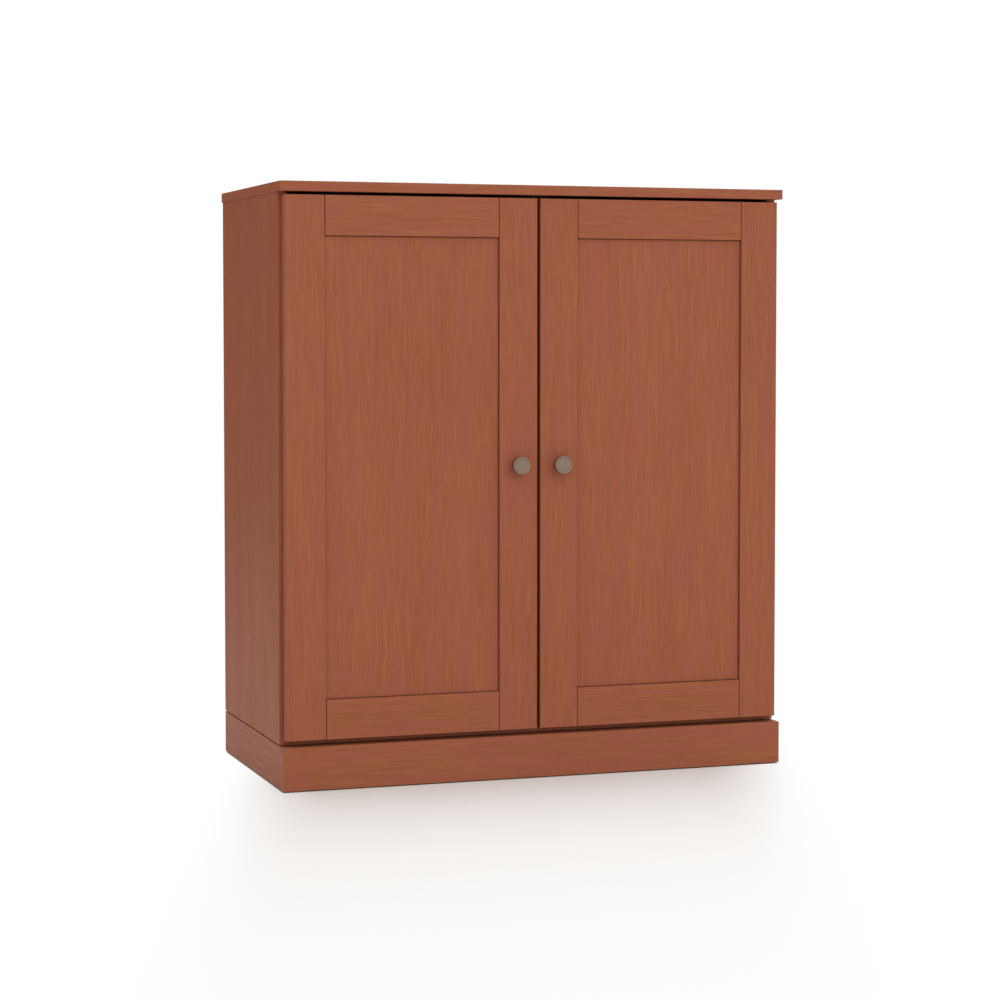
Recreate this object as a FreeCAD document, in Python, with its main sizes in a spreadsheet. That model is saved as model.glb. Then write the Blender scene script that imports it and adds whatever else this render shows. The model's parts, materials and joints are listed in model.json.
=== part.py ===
# Two-door linen cabinet: boards, framed doors, cup hinges and fittings, each a piece of its own
import FreeCAD, Part
import Sketcher
import os
import re

# Driving sizes in millimetres: name, value, what it measures
SIZES = (
    ("overall_width", 812.8, "top panel from side to side"),
    ("overall_depth", 393.7, "top panel from front to back"),
    ("overall_height", 908.05, "floor to the upper face of the top panel"),
    ("edge_round", 1.0, "eased edges of the boards"),
    ("fit_play", 0.05, "radial and end play of pegs and screws in their holes"),
    ("top_thickness", 15.0, "top panel"),
    ("side_thickness", 15.0, "side panels"),
    ("side_inset", 2.0, "side panels behind the ends of the top panel"),
    ("side_reveal", 1.2, "shadow line between case and base"),
    ("reveal_depth", 4.0, "shadow line of the bottom panel in from its front edge"),
    ("bottom_thickness", 15.0, "bottom panel"),
    ("back_thickness", 4.0, "back panel"),
    ("back_recess", 1.0, "back panel in from the rear edges"),
    ("back_rabbet", 8.0, "width of the rabbet that takes the back panel"),
    ("back_clearance", 0.5, "back panel edge to the side of its rabbet"),
    ("top_rabbet", 5.0, "height of the rabbet under the top panel"),
    ("plinth_height", 65.4, "base"),
    ("plinth_thickness", 15.0, "base boards"),
    ("plinth_side_inset", 1.5, "base behind the ends of the top panel"),
    ("plinth_front_inset", 0.9, "base behind the front edge of the top panel"),
    ("plinth_back_inset", 2.5, "base in from the rear edge of the top panel"),
    ("block_width", 30.0, "corner blocks of the base"),
    ("block_height", 30.0, "corner blocks of the base"),
    ("block_screw_set", 20.0, "screw of a corner block in from its front"),
    ("batten_overlap", 15.0, "front batten of the base under the bottom panel"),
    ("batten_height", 25.0, "front batten of the base"),
    ("shelf_thickness", 15.0, "adjustable shelves"),
    ("shelf_setback", 24.0, "shelf edge behind the front of the case"),
    ("shelf_end_gap", 2.0, "shelf end to side panel"),
    ("shelf_back_gap", 2.0, "shelf to back panel"),
    ("shelf_pin_radius", 2.5, "shelf pins"),
    ("shelf_pin_reach", 9.0, "shelf pin out of the side panel"),
    ("shelf_pin_grip", 8.0, "shelf pin in the side panel"),
    ("shelf_collar_radius", 4.0, "collar of a shelf pin"),
    ("shelf_collar", 1.2, "thickness of the collar of a shelf pin"),
    ("hole_step", 32.0, "spacing of the shelf pin holes"),
    ("hole_line", 37.0, "first line of holes behind the front of the case"),
    ("door_thickness", 19.0, "door frames"),
    ("door_setback", 3.5, "door face behind the front edge of the top panel"),
    ("door_edge_inset", 6.0, "hinge edge of a door in from the face of the side panel"),
    ("door_top_gap", 4.7, "door to top panel"),
    ("door_bottom_gap", 9.4, "door to base"),
    ("centre_gap", 5.0, "between the two doors"),
    ("stile_width", 60.8, "door stiles"),
    ("rail_width", 60.0, "door rails"),
    ("panel_recess", 5.0, "middle of the door panel behind the face of the frame"),
    ("panel_field", 2.5, "middle of the door panel in front of its edge"),
    ("panel_shadow", 1.1, "open line between the middle of the door panel and the frame"),
    ("panel_thickness", 5.0, "edge of the door panel in its grooves"),
    ("panel_play", 0.6, "door panel edge to the bottom of its groove"),
    ("groove_depth", 9.0, "groove in the stiles and rails"),
    ("joint_gap", 0.9, "open line between rail and stile"),
    ("joint_bevel", 0.5, "bevel on the inner edges of the frame"),
    ("knob_inset", 31.35, "knob in from the meeting edge of its door"),
    ("knob_radius", 13.75, "head of the knob"),
    ("knob_projection", 20.0, "knob face in front of the door"),
    ("knob_head", 6.0, "depth of the straight side of the knob head"),
    ("knob_flare", 3.0, "depth of the flare behind the head"),
    ("knob_neck_radius", 5.5, "neck of the knob"),
    ("knob_foot_radius", 8.0, "foot of the knob"),
    ("knob_foot", 2.0, "depth of the foot of the knob"),
    ("knob_rim", 2.6, "width of the raised rim on the knob face"),
    ("knob_dish", 0.7, "knob face behind its rim"),
    ("knob_round", 0.9, "rounded edges of the knob head"),
    ("knob_bore", 10.0, "depth of the screw hole in the knob"),
    ("knob_screw_radius", 2.0, "knob screw"),
    ("knob_screw_head_radius", 4.2, "head of the knob screw"),
    ("knob_screw_head", 2.2, "head height of the knob screw"),
    ("hinge_inset", 95.0, "hinge centre from the end of the door"),
    ("cup_radius", 17.5, "hinge cup"),
    ("cup_depth", 12.8, "hinge cup in the door"),
    ("cup_wall", 1.0, "wall of the hinge cup"),
    ("cup_floor", 0.8, "floor of the hinge cup"),
    ("cup_edge", 3.0, "wood between the hinge cup and the door edge"),
    ("cup_play", 0.15, "hinge cup in its bore"),
    ("cup_flange", 1.0, "thickness of the cup flange"),
    ("cup_flange_radius", 18.5, "round part of the cup flange"),
    ("cup_wing_half", 29.0, "half the height of the cup flange"),
    ("cup_wing_width", 14.0, "width of the wings of the cup flange"),
    ("cup_screw_half", 24.0, "cup screws from the hinge centre"),
    ("cup_screw_radius", 1.6, "cup screws"),
    ("cup_screw_grip", 10.0, "cup screw in the door"),
    ("cup_screw_head_radius", 3.6, "head of a cup screw"),
    ("cup_screw_head", 1.5, "head height of a cup screw"),
    ("pin_radius", 1.3, "hinge pin"),
    ("pin_end_room", 0.3, "hinge pin short of the outer face of its cheek"),
    ("running_play", 0.06, "radial play of the hinge arm on its pin"),
    ("eye_radius", 2.4, "eye of the hinge arm"),
    ("eye_room", 0.3, "eye to the floor of the cup"),
    ("cheek_gap", 0.3, "hinge arm to the cheeks of the cup"),
    ("cheek_width", 4.0, "cheek of the cup along the pin"),
    ("cheek_reach", 3.2, "cheek of the cup around the pin"),
    ("arm_width", 7.0, "hinge arm in the cup"),
    ("arm_thickness", 2.2, "hinge arm in the cup"),
    ("arm_swing_room", 0.8, "eye of the arm to the wall of the cup"),
    ("arm_clearance", 0.4, "corner of the turning door to the arm"),
    ("corner_clearance", 0.5, "corner of the turning door to the case"),
    ("arm_body_width", 15.0, "hinge arm on its plate"),
    ("arm_body_thickness", 3.2, "hinge arm on its plate"),
    ("arm_body_start", 3.0, "wide part of the arm behind the front of the case"),
    ("arm_body_length", 54.0, "wide part of the arm"),
    ("arm_screw_radius", 1.9, "arm screws"),
    ("arm_screw_head_radius", 3.4, "head of an arm screw"),
    ("arm_screw_head", 2.0, "head height of an arm screw"),
    ("arm_screw_grip", 6.0, "arm screw in the plate"),
    ("arm_screw_half", 14.0, "arm screws from the line of the plate"),
    ("plate_rail_width", 12.0, "raised rail of the mounting plate"),
    ("plate_rail_half", 24.0, "half the length of the raised rail"),
    ("plate_wing_half", 25.0, "half the height of the mounting plate"),
    ("plate_wing_width", 14.0, "width of the wings of the mounting plate"),
    ("plate_wing", 2.0, "thickness of the wings of the mounting plate"),
    ("plate_screw_half", 16.0, "plate screws from the hinge centre"),
    ("plate_screw_radius", 2.4, "plate screws"),
    ("plate_screw_grip", 10.5, "plate screw in the side panel"),
    ("plate_screw_head_radius", 4.0, "head of a plate screw"),
    ("plate_screw_head", 1.8, "head height of a plate screw"),
    ("catch_half", 24.0, "half the width of the catch"),
    ("catch_depth", 17.0, "catch from front to back"),
    ("catch_lip", 1.5, "catch below its magnets"),
    ("catch_air", 0.4, "catch to the strike plates"),
    ("catch_screw_radius", 1.6, "catch screws"),
    ("catch_screw_grip", 9.0, "catch screw in the top panel"),
    ("catch_screw_head_radius", 3.2, "head of a catch screw"),
    ("catch_screw_head", 1.6, "head height of a catch screw"),
    ("catch_screw_back", 4.5, "catch screws in from the rear of the catch"),
    ("magnet_depth", 6.0, "magnets from front to back"),
    ("strike_near", 3.0, "strike plate in from the meeting edge of the door"),
    ("strike_width", 17.0, "strike plates"),
    ("strike_height", 9.0, "strike plates"),
    ("strike_drop", 2.0, "strike plate below the top of the door"),
    ("strike_thickness", 1.2, "strike plates"),
    ("strike_screw_radius", 1.2, "strike screws"),
    ("strike_screw_grip", 9.0, "strike screw in the door"),
    ("strike_screw_head_radius", 2.4, "head of a strike screw"),
    ("strike_screw_head", 0.8, "head height of a strike screw"),
    ("bumper_radius", 4.0, "door bumpers"),
    ("bumper_margin", 0.5, "bumper above the lower edge of the door"),
    ("bumper_air", 0.2, "bumper to the bottom panel"),
    ("cam_radius", 7.4, "cam locks"),
    ("cam_distance", 24.0, "cam centre from the end of its board"),
    ("cam_skin", 2.6, "wood behind a cam lock"),
    ("cam_pocket", 4.0, "hollow of a cam lock beyond its centre"),
    ("cam_slot", 1.8, "width and depth of the slot in a cam lock"),
    ("cam_slot_half", 4.5, "half the length of the slot in a cam lock"),
    ("bolt_radius", 2.4, "thread of a cam bolt"),
    ("bolt_grip", 10.0, "thread of a cam bolt in its board"),
    ("bolt_neck_radius", 2.0, "neck of a cam bolt"),
    ("bolt_head_radius", 3.2, "head of a cam bolt"),
    ("bolt_head", 2.8, "head length of a cam bolt"),
    ("bolt_channel_radius", 3.8, "hole from the end of a board to its cam lock"),
    ("joint_inset", 55.0, "cam bolts from the front and rear of the case"),
    ("dowel_radius", 4.0, "dowels"),
    ("dowel_half", 10.0, "half the length of a dowel"),
    ("dowel_step", 32.0, "dowel from the cam bolt beside it"),
    ("nail_radius", 0.8, "back panel nails"),
    ("nail_grip", 12.0, "nail in its board"),
    ("nail_head_radius", 2.2, "head of a nail"),
    ("nail_head", 0.7, "head height of a nail"),
    ("nail_margin", 60.0, "first and last nail from the ends of a board"),
    ("plinth_screw_radius", 2.0, "screws of the base"),
    ("plinth_screw_grip", 10.0, "screw of the base in the bottom panel"),
    ("plinth_screw_head_radius", 4.0, "head of a screw of the base"),
    ("plinth_screw_head", 2.5, "head height of a screw of the base"),
)

# Places that follow from the sizes: x from the middle, y from front to back, z from the floor
PLACES = (
    ("half_width", "overall_width / 2"),
    ("front_y", "-(overall_depth - knob_projection + door_setback) / 2"),
    ("back_y", "front_y + overall_depth"),
    ("back_face", "back_y - back_recess"),
    ("back_inner", "back_face - back_thickness"),
    ("top_under", "overall_height - top_thickness"),
    ("side_out", "half_width - side_inset"),
    ("side_in", "side_out - side_thickness"),
    ("side_mid", "(side_in + side_out) / 2"),
    ("side_low", "plinth_height + side_reveal"),
    ("floor_top", "plinth_height + bottom_thickness"),
    ("floor_mid", "plinth_height + bottom_thickness / 2"),
    ("rabbet_out", "side_in + back_rabbet"),
    ("back_half", "rabbet_out - back_clearance"),
    ("plinth_out", "half_width - plinth_side_inset"),
    ("plinth_in", "plinth_out - plinth_thickness"),
    ("plinth_front", "front_y + plinth_front_inset"),
    ("plinth_inner", "plinth_front + plinth_thickness"),
    ("plinth_back", "back_y - plinth_back_inset"),
    ("plinth_rear", "plinth_back - plinth_thickness"),
    ("block_low", "plinth_height - block_height"),
    ("door_front", "front_y + door_setback"),
    ("door_back", "door_front + door_thickness"),
    ("cup_inner", "cup_radius - cup_wall"),
    ("cup_centre", "cup_edge + cup_radius"),
    ("pin_depth", "cup_depth - cup_floor - eye_room - eye_radius"),
    ("pin_edge", "cup_centre - sqrt(cup_inner^2 - arm_width^2 / 4) + eye_radius + arm_swing_room"),
    ("corner_reach", "sqrt(pin_edge^2 + pin_depth^2)"),
    ("door_gap", "corner_reach - pin_depth + corner_clearance"),
    ("case_front", "door_back + door_gap"),
    ("door_edge", "side_out - door_edge_inset"),
    ("door_meet", "centre_gap / 2"),
    ("door_low", "plinth_height + door_bottom_gap"),
    ("door_high", "top_under - door_top_gap"),
    ("hinge_stile_in", "door_edge - stile_width"),
    ("latch_stile_in", "door_meet + stile_width"),
    ("hinge_stile_mid", "door_edge - stile_width / 2"),
    ("latch_stile_mid", "door_meet + stile_width / 2"),
    ("top_rail_low", "door_high - rail_width"),
    ("bottom_rail_high", "door_low + rail_width"),
    ("panel_face", "door_front + panel_recess"),
    ("panel_front", "panel_face + panel_field"),
    ("panel_back", "panel_front + panel_thickness"),
    ("knob_x", "door_meet + knob_inset"),
    ("knob_z", "(door_low + door_high) / 2"),
    ("knob_head_back", "knob_projection - knob_head"),
    ("pin_x", "door_edge - pin_edge"),
    ("pin_y", "door_back - pin_depth"),
    ("cup_x", "door_edge - cup_centre"),
    ("cup_screw_x", "cup_x - cup_wing_width / 2"),
    ("cheek_low", "arm_width / 2 + cheek_gap"),
    ("cheek_high", "cheek_low + cheek_width"),
    ("pin_half", "cheek_high - pin_end_room"),
    ("upper_hinge_z", "door_high - hinge_inset"),
    ("lower_hinge_z", "door_low + hinge_inset"),
    ("arm_x", "pin_x - corner_reach - arm_clearance"),
    ("plate_y", "case_front + hole_line"),
    ("arm_start", "case_front + arm_body_start"),
    ("arm_end", "arm_start + arm_body_length"),
    ("shelf_front", "case_front + shelf_setback"),
    ("shelf_back", "back_inner - shelf_back_gap"),
    ("shelf_half", "side_in - shelf_end_gap"),
    ("compartment", "(top_under - floor_top - 2 * shelf_thickness) / 3"),
    ("lower_shelf_low", "floor_top + compartment"),
    ("upper_shelf_low", "lower_shelf_low + shelf_thickness + compartment"),
    ("lower_pin_z", "lower_shelf_low - shelf_pin_radius - fit_play"),
    ("upper_pin_z", "upper_shelf_low - shelf_pin_radius - fit_play"),
    ("front_hole_y", "case_front + hole_line"),
    ("rear_hole_y", "shelf_back - hole_line"),
    ("strike_high", "door_high - strike_drop"),
    ("strike_low", "strike_high - strike_height"),
    ("strike_mid", "(strike_low + strike_high) / 2"),
    ("strike_x", "door_meet + strike_near"),
    ("strike_far", "strike_x + strike_width"),
    ("strike_x_mid", "strike_x + strike_width / 2"),
    ("strike_face", "door_back + strike_thickness"),
    ("catch_front", "strike_face + catch_air"),
    ("catch_rear", "catch_front + catch_depth"),
    ("catch_low", "strike_low - catch_lip"),
    ("catch_screw_y", "catch_rear - catch_screw_back"),
    ("bumper_z", "door_low + bumper_margin + bumper_radius"),
    ("front_joint_y", "case_front + joint_inset"),
    ("rear_joint_y", "back_inner - joint_inset"),
    ("front_dowel_y", "front_joint_y + dowel_step"),
    ("rear_dowel_y", "rear_joint_y - dowel_step"),
    ("cam_x", "side_in - cam_distance"),
    ("cam_z", "top_under - cam_distance"),
    ("nail_x", "side_in + back_rabbet / 2"),
    ("nail_reach", "side_in - nail_margin"),
    ("nail_low", "side_low + nail_margin"),
    ("nail_rise", "top_under - side_low - 2 * nail_margin"),
)

SIDE_NAIL_COUNT = 5
BOTTOM_NAIL_COUNT = 5
HOLE_ROWS = (-2, -1, 0, 1, 2)
TOUCH = 1e-6

HANDS = {"left": -1, "right": 1}
OUTWARD = {-1: "-x", 1: "x"}
INWARD = {-1: "x", 1: "-x"}
HINGES = {"upper": "upper_hinge_z", "lower": "lower_hinge_z"}
JOINT_YS = ("front_joint_y", "rear_joint_y")
DOWEL_YS = ("front_dowel_y", "rear_dowel_y")
HOLE_YS = ("front_hole_y", "rear_hole_y")
SHELF_PIN_ZS = ("lower_pin_z", "upper_pin_z")

Vector = FreeCAD.Vector
TURNS = {
    "x": FreeCAD.Rotation(Vector(0, 1, 0), 90),
    "-x": FreeCAD.Rotation(Vector(0, 1, 0), -90),
    "y": FreeCAD.Rotation(Vector(1, 0, 0), -90),
    "-y": FreeCAD.Rotation(Vector(1, 0, 0), 90),
    "z": FreeCAD.Rotation(),
    "-z": FreeCAD.Rotation(Vector(1, 0, 0), 180),
}

doc = FreeCAD.newDocument("linen_cabinet")
pieces = []
home_sheet = {}


def bound(text, own_sheet=None):
    """The expression with every size and place named in full."""

    def full(match):
        word = match.group()
        sheet_name = home_sheet.get(word, own_sheet)
        return word if sheet_name == own_sheet else f"{sheet_name}.{word}"

    return re.sub(r"[a-z][a-z_]+", full, text)


def fill_sheets():
    """The sizes as plain numbers in one sheet and the places as formulas in another."""
    sizes = doc.addObject("Spreadsheet::Sheet", "Sizes")
    for row, (name, value, meaning) in enumerate(SIZES, start=1):
        sizes.set(f"A{row}", meaning)
        sizes.set(f"B{row}", str(value))
        sizes.setAlias(f"B{row}", name)
        home_sheet[name] = "Sizes"
    places = doc.addObject("Spreadsheet::Sheet", "Places")
    for row, (name, formula) in enumerate(PLACES, start=1):
        home_sheet[name] = "Places"
        places.set(f"A{row}", name)
        places.set(f"B{row}", "=" + bound(formula, "Places"))
        places.setAlias(f"B{row}", name)
    home_sheet["sqrt"] = None
    doc.recompute()


def size(name):
    """The present value of a size."""
    return float(getattr(doc.getObject("Sizes"), name))


def keep(shape):
    """Marks an object as a piece of its own, named by its label."""
    pieces.append(shape)
    return shape


def on(hand, distance):
    """A distance from the middle, to the right or to the left."""
    return distance if hand > 0 else f"-({distance})"


def across(hand, near, far):
    """A span between two distances from the middle, to the right or to the left."""
    return (near, far) if hand > 0 else (f"-({far})", f"-({near})")


def about(middle, half):
    """A span centred on a place."""
    return f"{middle} - {half}", f"{middle} + {half}"


def box(name, x, y, z):
    """A block between two places along each axis."""
    block = doc.addObject("Part::Box", name)
    for length, axis, (low, high) in zip(("Length", "Width", "Height"), "xyz", (x, y, z)):
        block.setExpression(length, bound(f"({high}) - ({low})"))
        block.setExpression(f"Placement.Base.{axis}", bound(low))
    return block


def rod(name, radius, length, at, along):
    """A round bar that starts at a point and runs along a signed axis."""
    bar = doc.addObject("Part::Cylinder", name)
    bar.setExpression("Radius", bound(radius))
    bar.setExpression("Height", bound(length))
    bar.Placement.Rotation = TURNS[along]
    for axis, place in zip("xyz", at):
        bar.setExpression(f"Placement.Base.{axis}", bound(place))
    return bar


def hole(name, radius, depth, at, along):
    """A blind hole for a peg or a screw, with play around it and at its end."""
    return rod(name, f"{radius} + fit_play", f"{depth} + fit_play", at, along)


def fuse(name, *shapes):
    """One solid of several that touch."""
    joined = doc.addObject("Part::MultiFuse", name)
    joined.Shapes = list(shapes)
    return joined


def cut(name, base, *tools):
    """A solid less its tools."""
    less = doc.addObject("Part::Cut", name)
    less.Base = base
    less.Tool = tools[0] if len(tools) == 1 else fuse(f"{name}_tools", *tools)
    return less


def common(name, first, second):
    """What two solids share."""
    shared = doc.addObject("Part::Common", name)
    shared.Base = first
    shared.Tool = second
    return shared


def group(name, shapes):
    """Several separate solids kept as one piece."""
    together = doc.addObject("Part::Compound", name)
    together.Links = list(shapes)
    return keep(together)


def corner_edges(shape, corners):
    """Numbers of the edges where two outer sides meet, each corner named like "x- z+"."""
    limits = shape.BoundBox
    sides = {
        "x-": ("x", limits.XMin),
        "x+": ("x", limits.XMax),
        "y-": ("y", limits.YMin),
        "y+": ("y", limits.YMax),
        "z-": ("z", limits.ZMin),
        "z+": ("z", limits.ZMax),
    }
    numbers = []
    for number, edge in enumerate(shape.Edges, start=1):
        for corner in corners:
            wanted = [sides[side] for side in corner.split()]
            points = [vertex.Point for vertex in edge.Vertexes]
            if all(abs(getattr(p, axis) - value) < TOUCH for p in points for axis, value in wanted):
                numbers.append(number)
    return numbers


def dressed(kind, name, base, amount, corners):
    """A solid with a fillet or chamfer along the corners named."""
    base.recompute()
    trimmed = doc.addObject(kind, name)
    trimmed.Base = base
    trimmed.Edges = [(number, size(amount), size(amount)) for number in corner_edges(base.Shape, corners)]
    trimmed.recompute()
    return trimmed


def eased(name, base, corners):
    """A solid with its named corners rounded."""
    return dressed("Part::Fillet", name, base, "edge_round", corners)


def bevelled(name, base, corners):
    """A solid with its named corners bevelled as at the joints of the door frame."""
    return dressed("Part::Chamfer", name, base, "joint_bevel", corners)


def screw(name, shank, grip, head, head_height, at, along, back):
    """A screw whose head bears on a point and whose shank runs along an axis."""
    stem = rod(f"{name}_shank", shank, grip, at, along)
    cap = rod(f"{name}_head", head, head_height, at, back)
    return fuse(name, stem, cap)


def origin_plane(body, role):
    """One of the origin planes of a body."""
    return [feature for feature in body.Origin.OriginFeatures if feature.Role == role][0]


def profile(body, name, points):
    """A closed outline on the ground plane of a body, each corner held by its two places."""
    sketch = body.newObject("Sketcher::SketchObject", name)
    sketch.AttachmentSupport = (origin_plane(body, "XY_Plane"), [""])
    sketch.MapMode = "FlatFace"
    texts = [(bound(u), bound(v)) for u, v in points]
    values = [tuple(float(sketch.evalExpression(text)) for text in pair) for pair in texts]
    count = len(values)
    for index in range(count):
        start = Vector(*values[index], 0)
        end = Vector(*values[(index + 1) % count], 0)
        sketch.addGeometry(Part.LineSegment(start, end), False)
    for index in range(count):
        sketch.addConstraint(Sketcher.Constraint("Coincident", index, 2, (index + 1) % count, 1))
    for index, pair in enumerate(texts):
        for kind, text, value, axis in zip(("DistanceX", "DistanceY"), pair, values[index], (-2, -1)):
            if value == 0:
                sketch.addConstraint(Sketcher.Constraint("PointOnObject", index, 1, axis))
            else:
                number = sketch.addConstraint(Sketcher.Constraint(kind, -1, 1, index, 1, value))
                sketch.setExpression(f"Constraints[{number}]", text)
    return sketch


def fillet_body(body, feature, numbers, radius):
    """Rounds edges of the last feature of a body."""
    rounding = body.newObject("PartDesign::Fillet", f"{body.Name}_round")
    rounding.Base = (feature, [f"Edge{number}" for number in numbers])
    rounding.setExpression("Radius", bound(radius))


# Fastener places shared by the boards and the fasteners


def nail_places():
    """Where the back panel is nailed, with the board behind each nail."""
    for side, hand in HANDS.items():
        for row in range(SIDE_NAIL_COUNT):
            yield side, on(hand, "nail_x"), f"nail_low + nail_rise * {row} / {SIDE_NAIL_COUNT - 1}"
    for column in range(BOTTOM_NAIL_COUNT):
        yield "bottom", f"nail_reach * ({column} / {BOTTOM_NAIL_COUNT - 1} * 2 - 1)", "floor_mid"


def nail_holes(name, board):
    """Pilot holes for the nails that end in one board."""
    return [
        hole(name, "nail_radius", "nail_grip", (x, "back_inner", z), "-y")
        for owner, x, z in nail_places()
        if owner == board
    ]


def block_places():
    """The two spans of each corner block of the base, and where its screw stands."""
    for hand in HANDS.values():
        span_x = across(hand, "plinth_in - block_width", "plinth_in")
        middle_x = on(hand, "plinth_in - block_width / 2")
        for low in ("plinth_inner", "plinth_rear - block_width"):
            yield span_x, (low, f"{low} + block_width"), middle_x, f"{low} + block_screw_set"


# Boards of the case


def top_panel():
    """The top, grooved for the back panel and bored for bolts, dowels and catch screws."""
    blank = box(
        "top_panel_blank",
        ("-half_width", "half_width"),
        ("front_y", "back_y"),
        ("top_under", "overall_height"),
    )
    corners = ("x- z+", "x+ z+", "y- z+", "x- z-", "x+ z-", "y- z-", "x- y-", "x+ y-")
    soft = eased("top_panel_soft", blank, corners)
    tools = [
        box(
            "top_panel_rabbet",
            ("-rabbet_out", "rabbet_out"),
            ("back_inner", "back_y"),
            ("top_under", "top_under + top_rabbet"),
        )
    ]
    for hand in HANDS.values():
        x = on(hand, "side_mid")
        for y in JOINT_YS:
            at = (x, y, "top_under")
            tools.append(hole("top_panel_bore", "bolt_radius", "bolt_grip", at, "z"))
        for y in DOWEL_YS:
            at = (x, y, "top_under")
            tools.append(hole("top_panel_bore", "dowel_radius", "dowel_half", at, "z"))
        at = (on(hand, "strike_x_mid"), "catch_screw_y", "top_under")
        tools.append(hole("top_panel_bore", "catch_screw_radius", "catch_screw_grip", at, "z"))
    keep(cut("top_panel", soft, *tools))


def side_panel(side, hand):
    """A side with its rabbet, shelf pin holes, hinge screw holes and case joints."""
    name = f"{side}_side_panel"
    blank = box(
        f"{name}_blank",
        across(hand, "side_in", "side_out"),
        ("case_front", "back_y"),
        ("side_low", "top_under"),
    )
    outer = "x+" if hand > 0 else "x-"
    soft = eased(f"{name}_soft", blank, ("x- y-", "x+ y-", f"{outer} z-"))
    tools = [
        box(
            f"{name}_rabbet",
            across(hand, "side_in", "rabbet_out"),
            ("back_inner", "back_y"),
            ("side_low", "top_under"),
        )
    ]
    face = on(hand, "side_in")
    for z in SHELF_PIN_ZS:
        for row in HOLE_ROWS:
            for y in HOLE_YS:
                at = (face, y, f"{z} + {row} * hole_step")
                tools.append(hole(f"{name}_hole", "shelf_pin_radius", "shelf_pin_grip", at, OUTWARD[hand]))
    for hinge_z in HINGES.values():
        for sign in "+-":
            at = (face, "plate_y", f"{hinge_z} {sign} plate_screw_half")
            tools.append(hole(f"{name}_pilot", "plate_screw_radius", "plate_screw_grip", at, OUTWARD[hand]))
    for y in JOINT_YS:
        bolt_at = (face, y, "floor_mid")
        cam_at = (face, y, "cam_z")
        end_at = (on(hand, "side_mid"), y, "top_under")
        depth = "side_thickness - cam_skin"
        tools.append(hole(f"{name}_bore", "bolt_radius", "bolt_grip", bolt_at, OUTWARD[hand]))
        tools.append(hole(f"{name}_cam", "cam_radius", depth, cam_at, OUTWARD[hand]))
        tools.append(rod(f"{name}_channel", "bolt_channel_radius", "cam_distance", end_at, "-z"))
    for y in DOWEL_YS:
        low_at = (face, y, "floor_mid")
        high_at = (on(hand, "side_mid"), y, "top_under")
        tools.append(hole(f"{name}_dowel", "dowel_radius", "dowel_half", low_at, OUTWARD[hand]))
        tools.append(hole(f"{name}_dowel", "dowel_radius", "dowel_half", high_at, "-z"))
    tools += nail_holes(f"{name}_nail", side)
    keep(cut(name, soft, *tools))


def bottom_panel():
    """The bottom, cut back over the base and bored for cam locks, dowels, nails and screws."""
    blank = box(
        "bottom_panel_blank",
        ("-side_in", "side_in"),
        ("case_front", "back_inner"),
        ("plinth_height", "floor_top"),
    )
    soft = eased("bottom_panel_soft", blank, ("y- z+",))
    reveal = box(
        "bottom_panel_reveal",
        ("-side_in", "side_in"),
        ("case_front", "case_front + reveal_depth"),
        ("plinth_height", "side_low"),
    )
    tools = [reveal, *nail_holes("bottom_panel_nail", "bottom")]
    for hand in HANDS.values():
        end = on(hand, "side_in")
        for y in JOINT_YS:
            cam_at = (on(hand, "cam_x"), y, "plinth_height")
            depth = "bottom_thickness - cam_skin"
            tools.append(hole("bottom_panel_cam", "cam_radius", depth, cam_at, "z"))
            channel_at = (end, y, "floor_mid")
            tools.append(
                rod("bottom_panel_channel", "bolt_channel_radius", "cam_distance", channel_at, INWARD[hand])
            )
        for y in DOWEL_YS:
            at = (end, y, "floor_mid")
            tools.append(hole("bottom_panel_dowel", "dowel_radius", "dowel_half", at, INWARD[hand]))
    for _, _, x, y in block_places():
        at = (x, y, "plinth_height")
        tools.append(hole("bottom_panel_pilot", "plinth_screw_radius", "plinth_screw_grip", at, "z"))
    keep(cut("bottom_panel", soft, *tools))


def back_panel():
    """The thin back, pierced for its nails."""
    blank = box(
        "back_panel_blank",
        ("-back_half", "back_half"),
        ("back_inner", "back_face"),
        ("side_low", "top_under + top_rabbet - back_clearance"),
    )
    holes = [
        rod("back_panel_hole", "nail_radius + fit_play", "back_thickness", (x, "back_face", z), "-y")
        for _, x, z in nail_places()
    ]
    keep(cut("back_panel", blank, *holes))


def shelves():
    """Two loose shelves and the pins that carry them."""
    for name, low in (("lower_shelf", "lower_shelf_low"), ("upper_shelf", "upper_shelf_low")):
        blank = box(
            f"{name}_blank",
            ("-shelf_half", "shelf_half"),
            ("shelf_front", "shelf_back"),
            (low, f"{low} + shelf_thickness"),
        )
        keep(eased(name, blank, ("y- z+", "y- z-")))
    pins = []
    for hand in HANDS.values():
        for z in SHELF_PIN_ZS:
            for y in HOLE_YS:
                start = (on(hand, "side_in - shelf_pin_reach"), y, z)
                collar_at = (on(hand, "side_in - shelf_collar"), y, z)
                length = "shelf_pin_reach + shelf_pin_grip"
                stem = rod("shelf_pin_stem", "shelf_pin_radius", length, start, OUTWARD[hand])
                collar_size = ("shelf_collar_radius", "shelf_collar")
                collar = rod("shelf_pin_collar", *collar_size, collar_at, OUTWARD[hand])
                pins.append(fuse("shelf_pin", stem, collar))
    group("shelf_pins", pins)


# Base


def plinth_board(name, points, side):
    """A mitred board of the base, standing on the floor, eased along its outer side."""
    body = doc.addObject("PartDesign::Body", name)
    outline = profile(body, f"{name}_outline", points)
    pad = body.newObject("PartDesign::Pad", f"{name}_pad")
    pad.Profile = outline
    pad.setExpression("Length", bound("plinth_height"))
    doc.recompute()
    fillet_body(body, pad, corner_edges(pad.Shape, (f"{side} z-", f"{side} z+")), "edge_round")
    keep(body)


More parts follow.
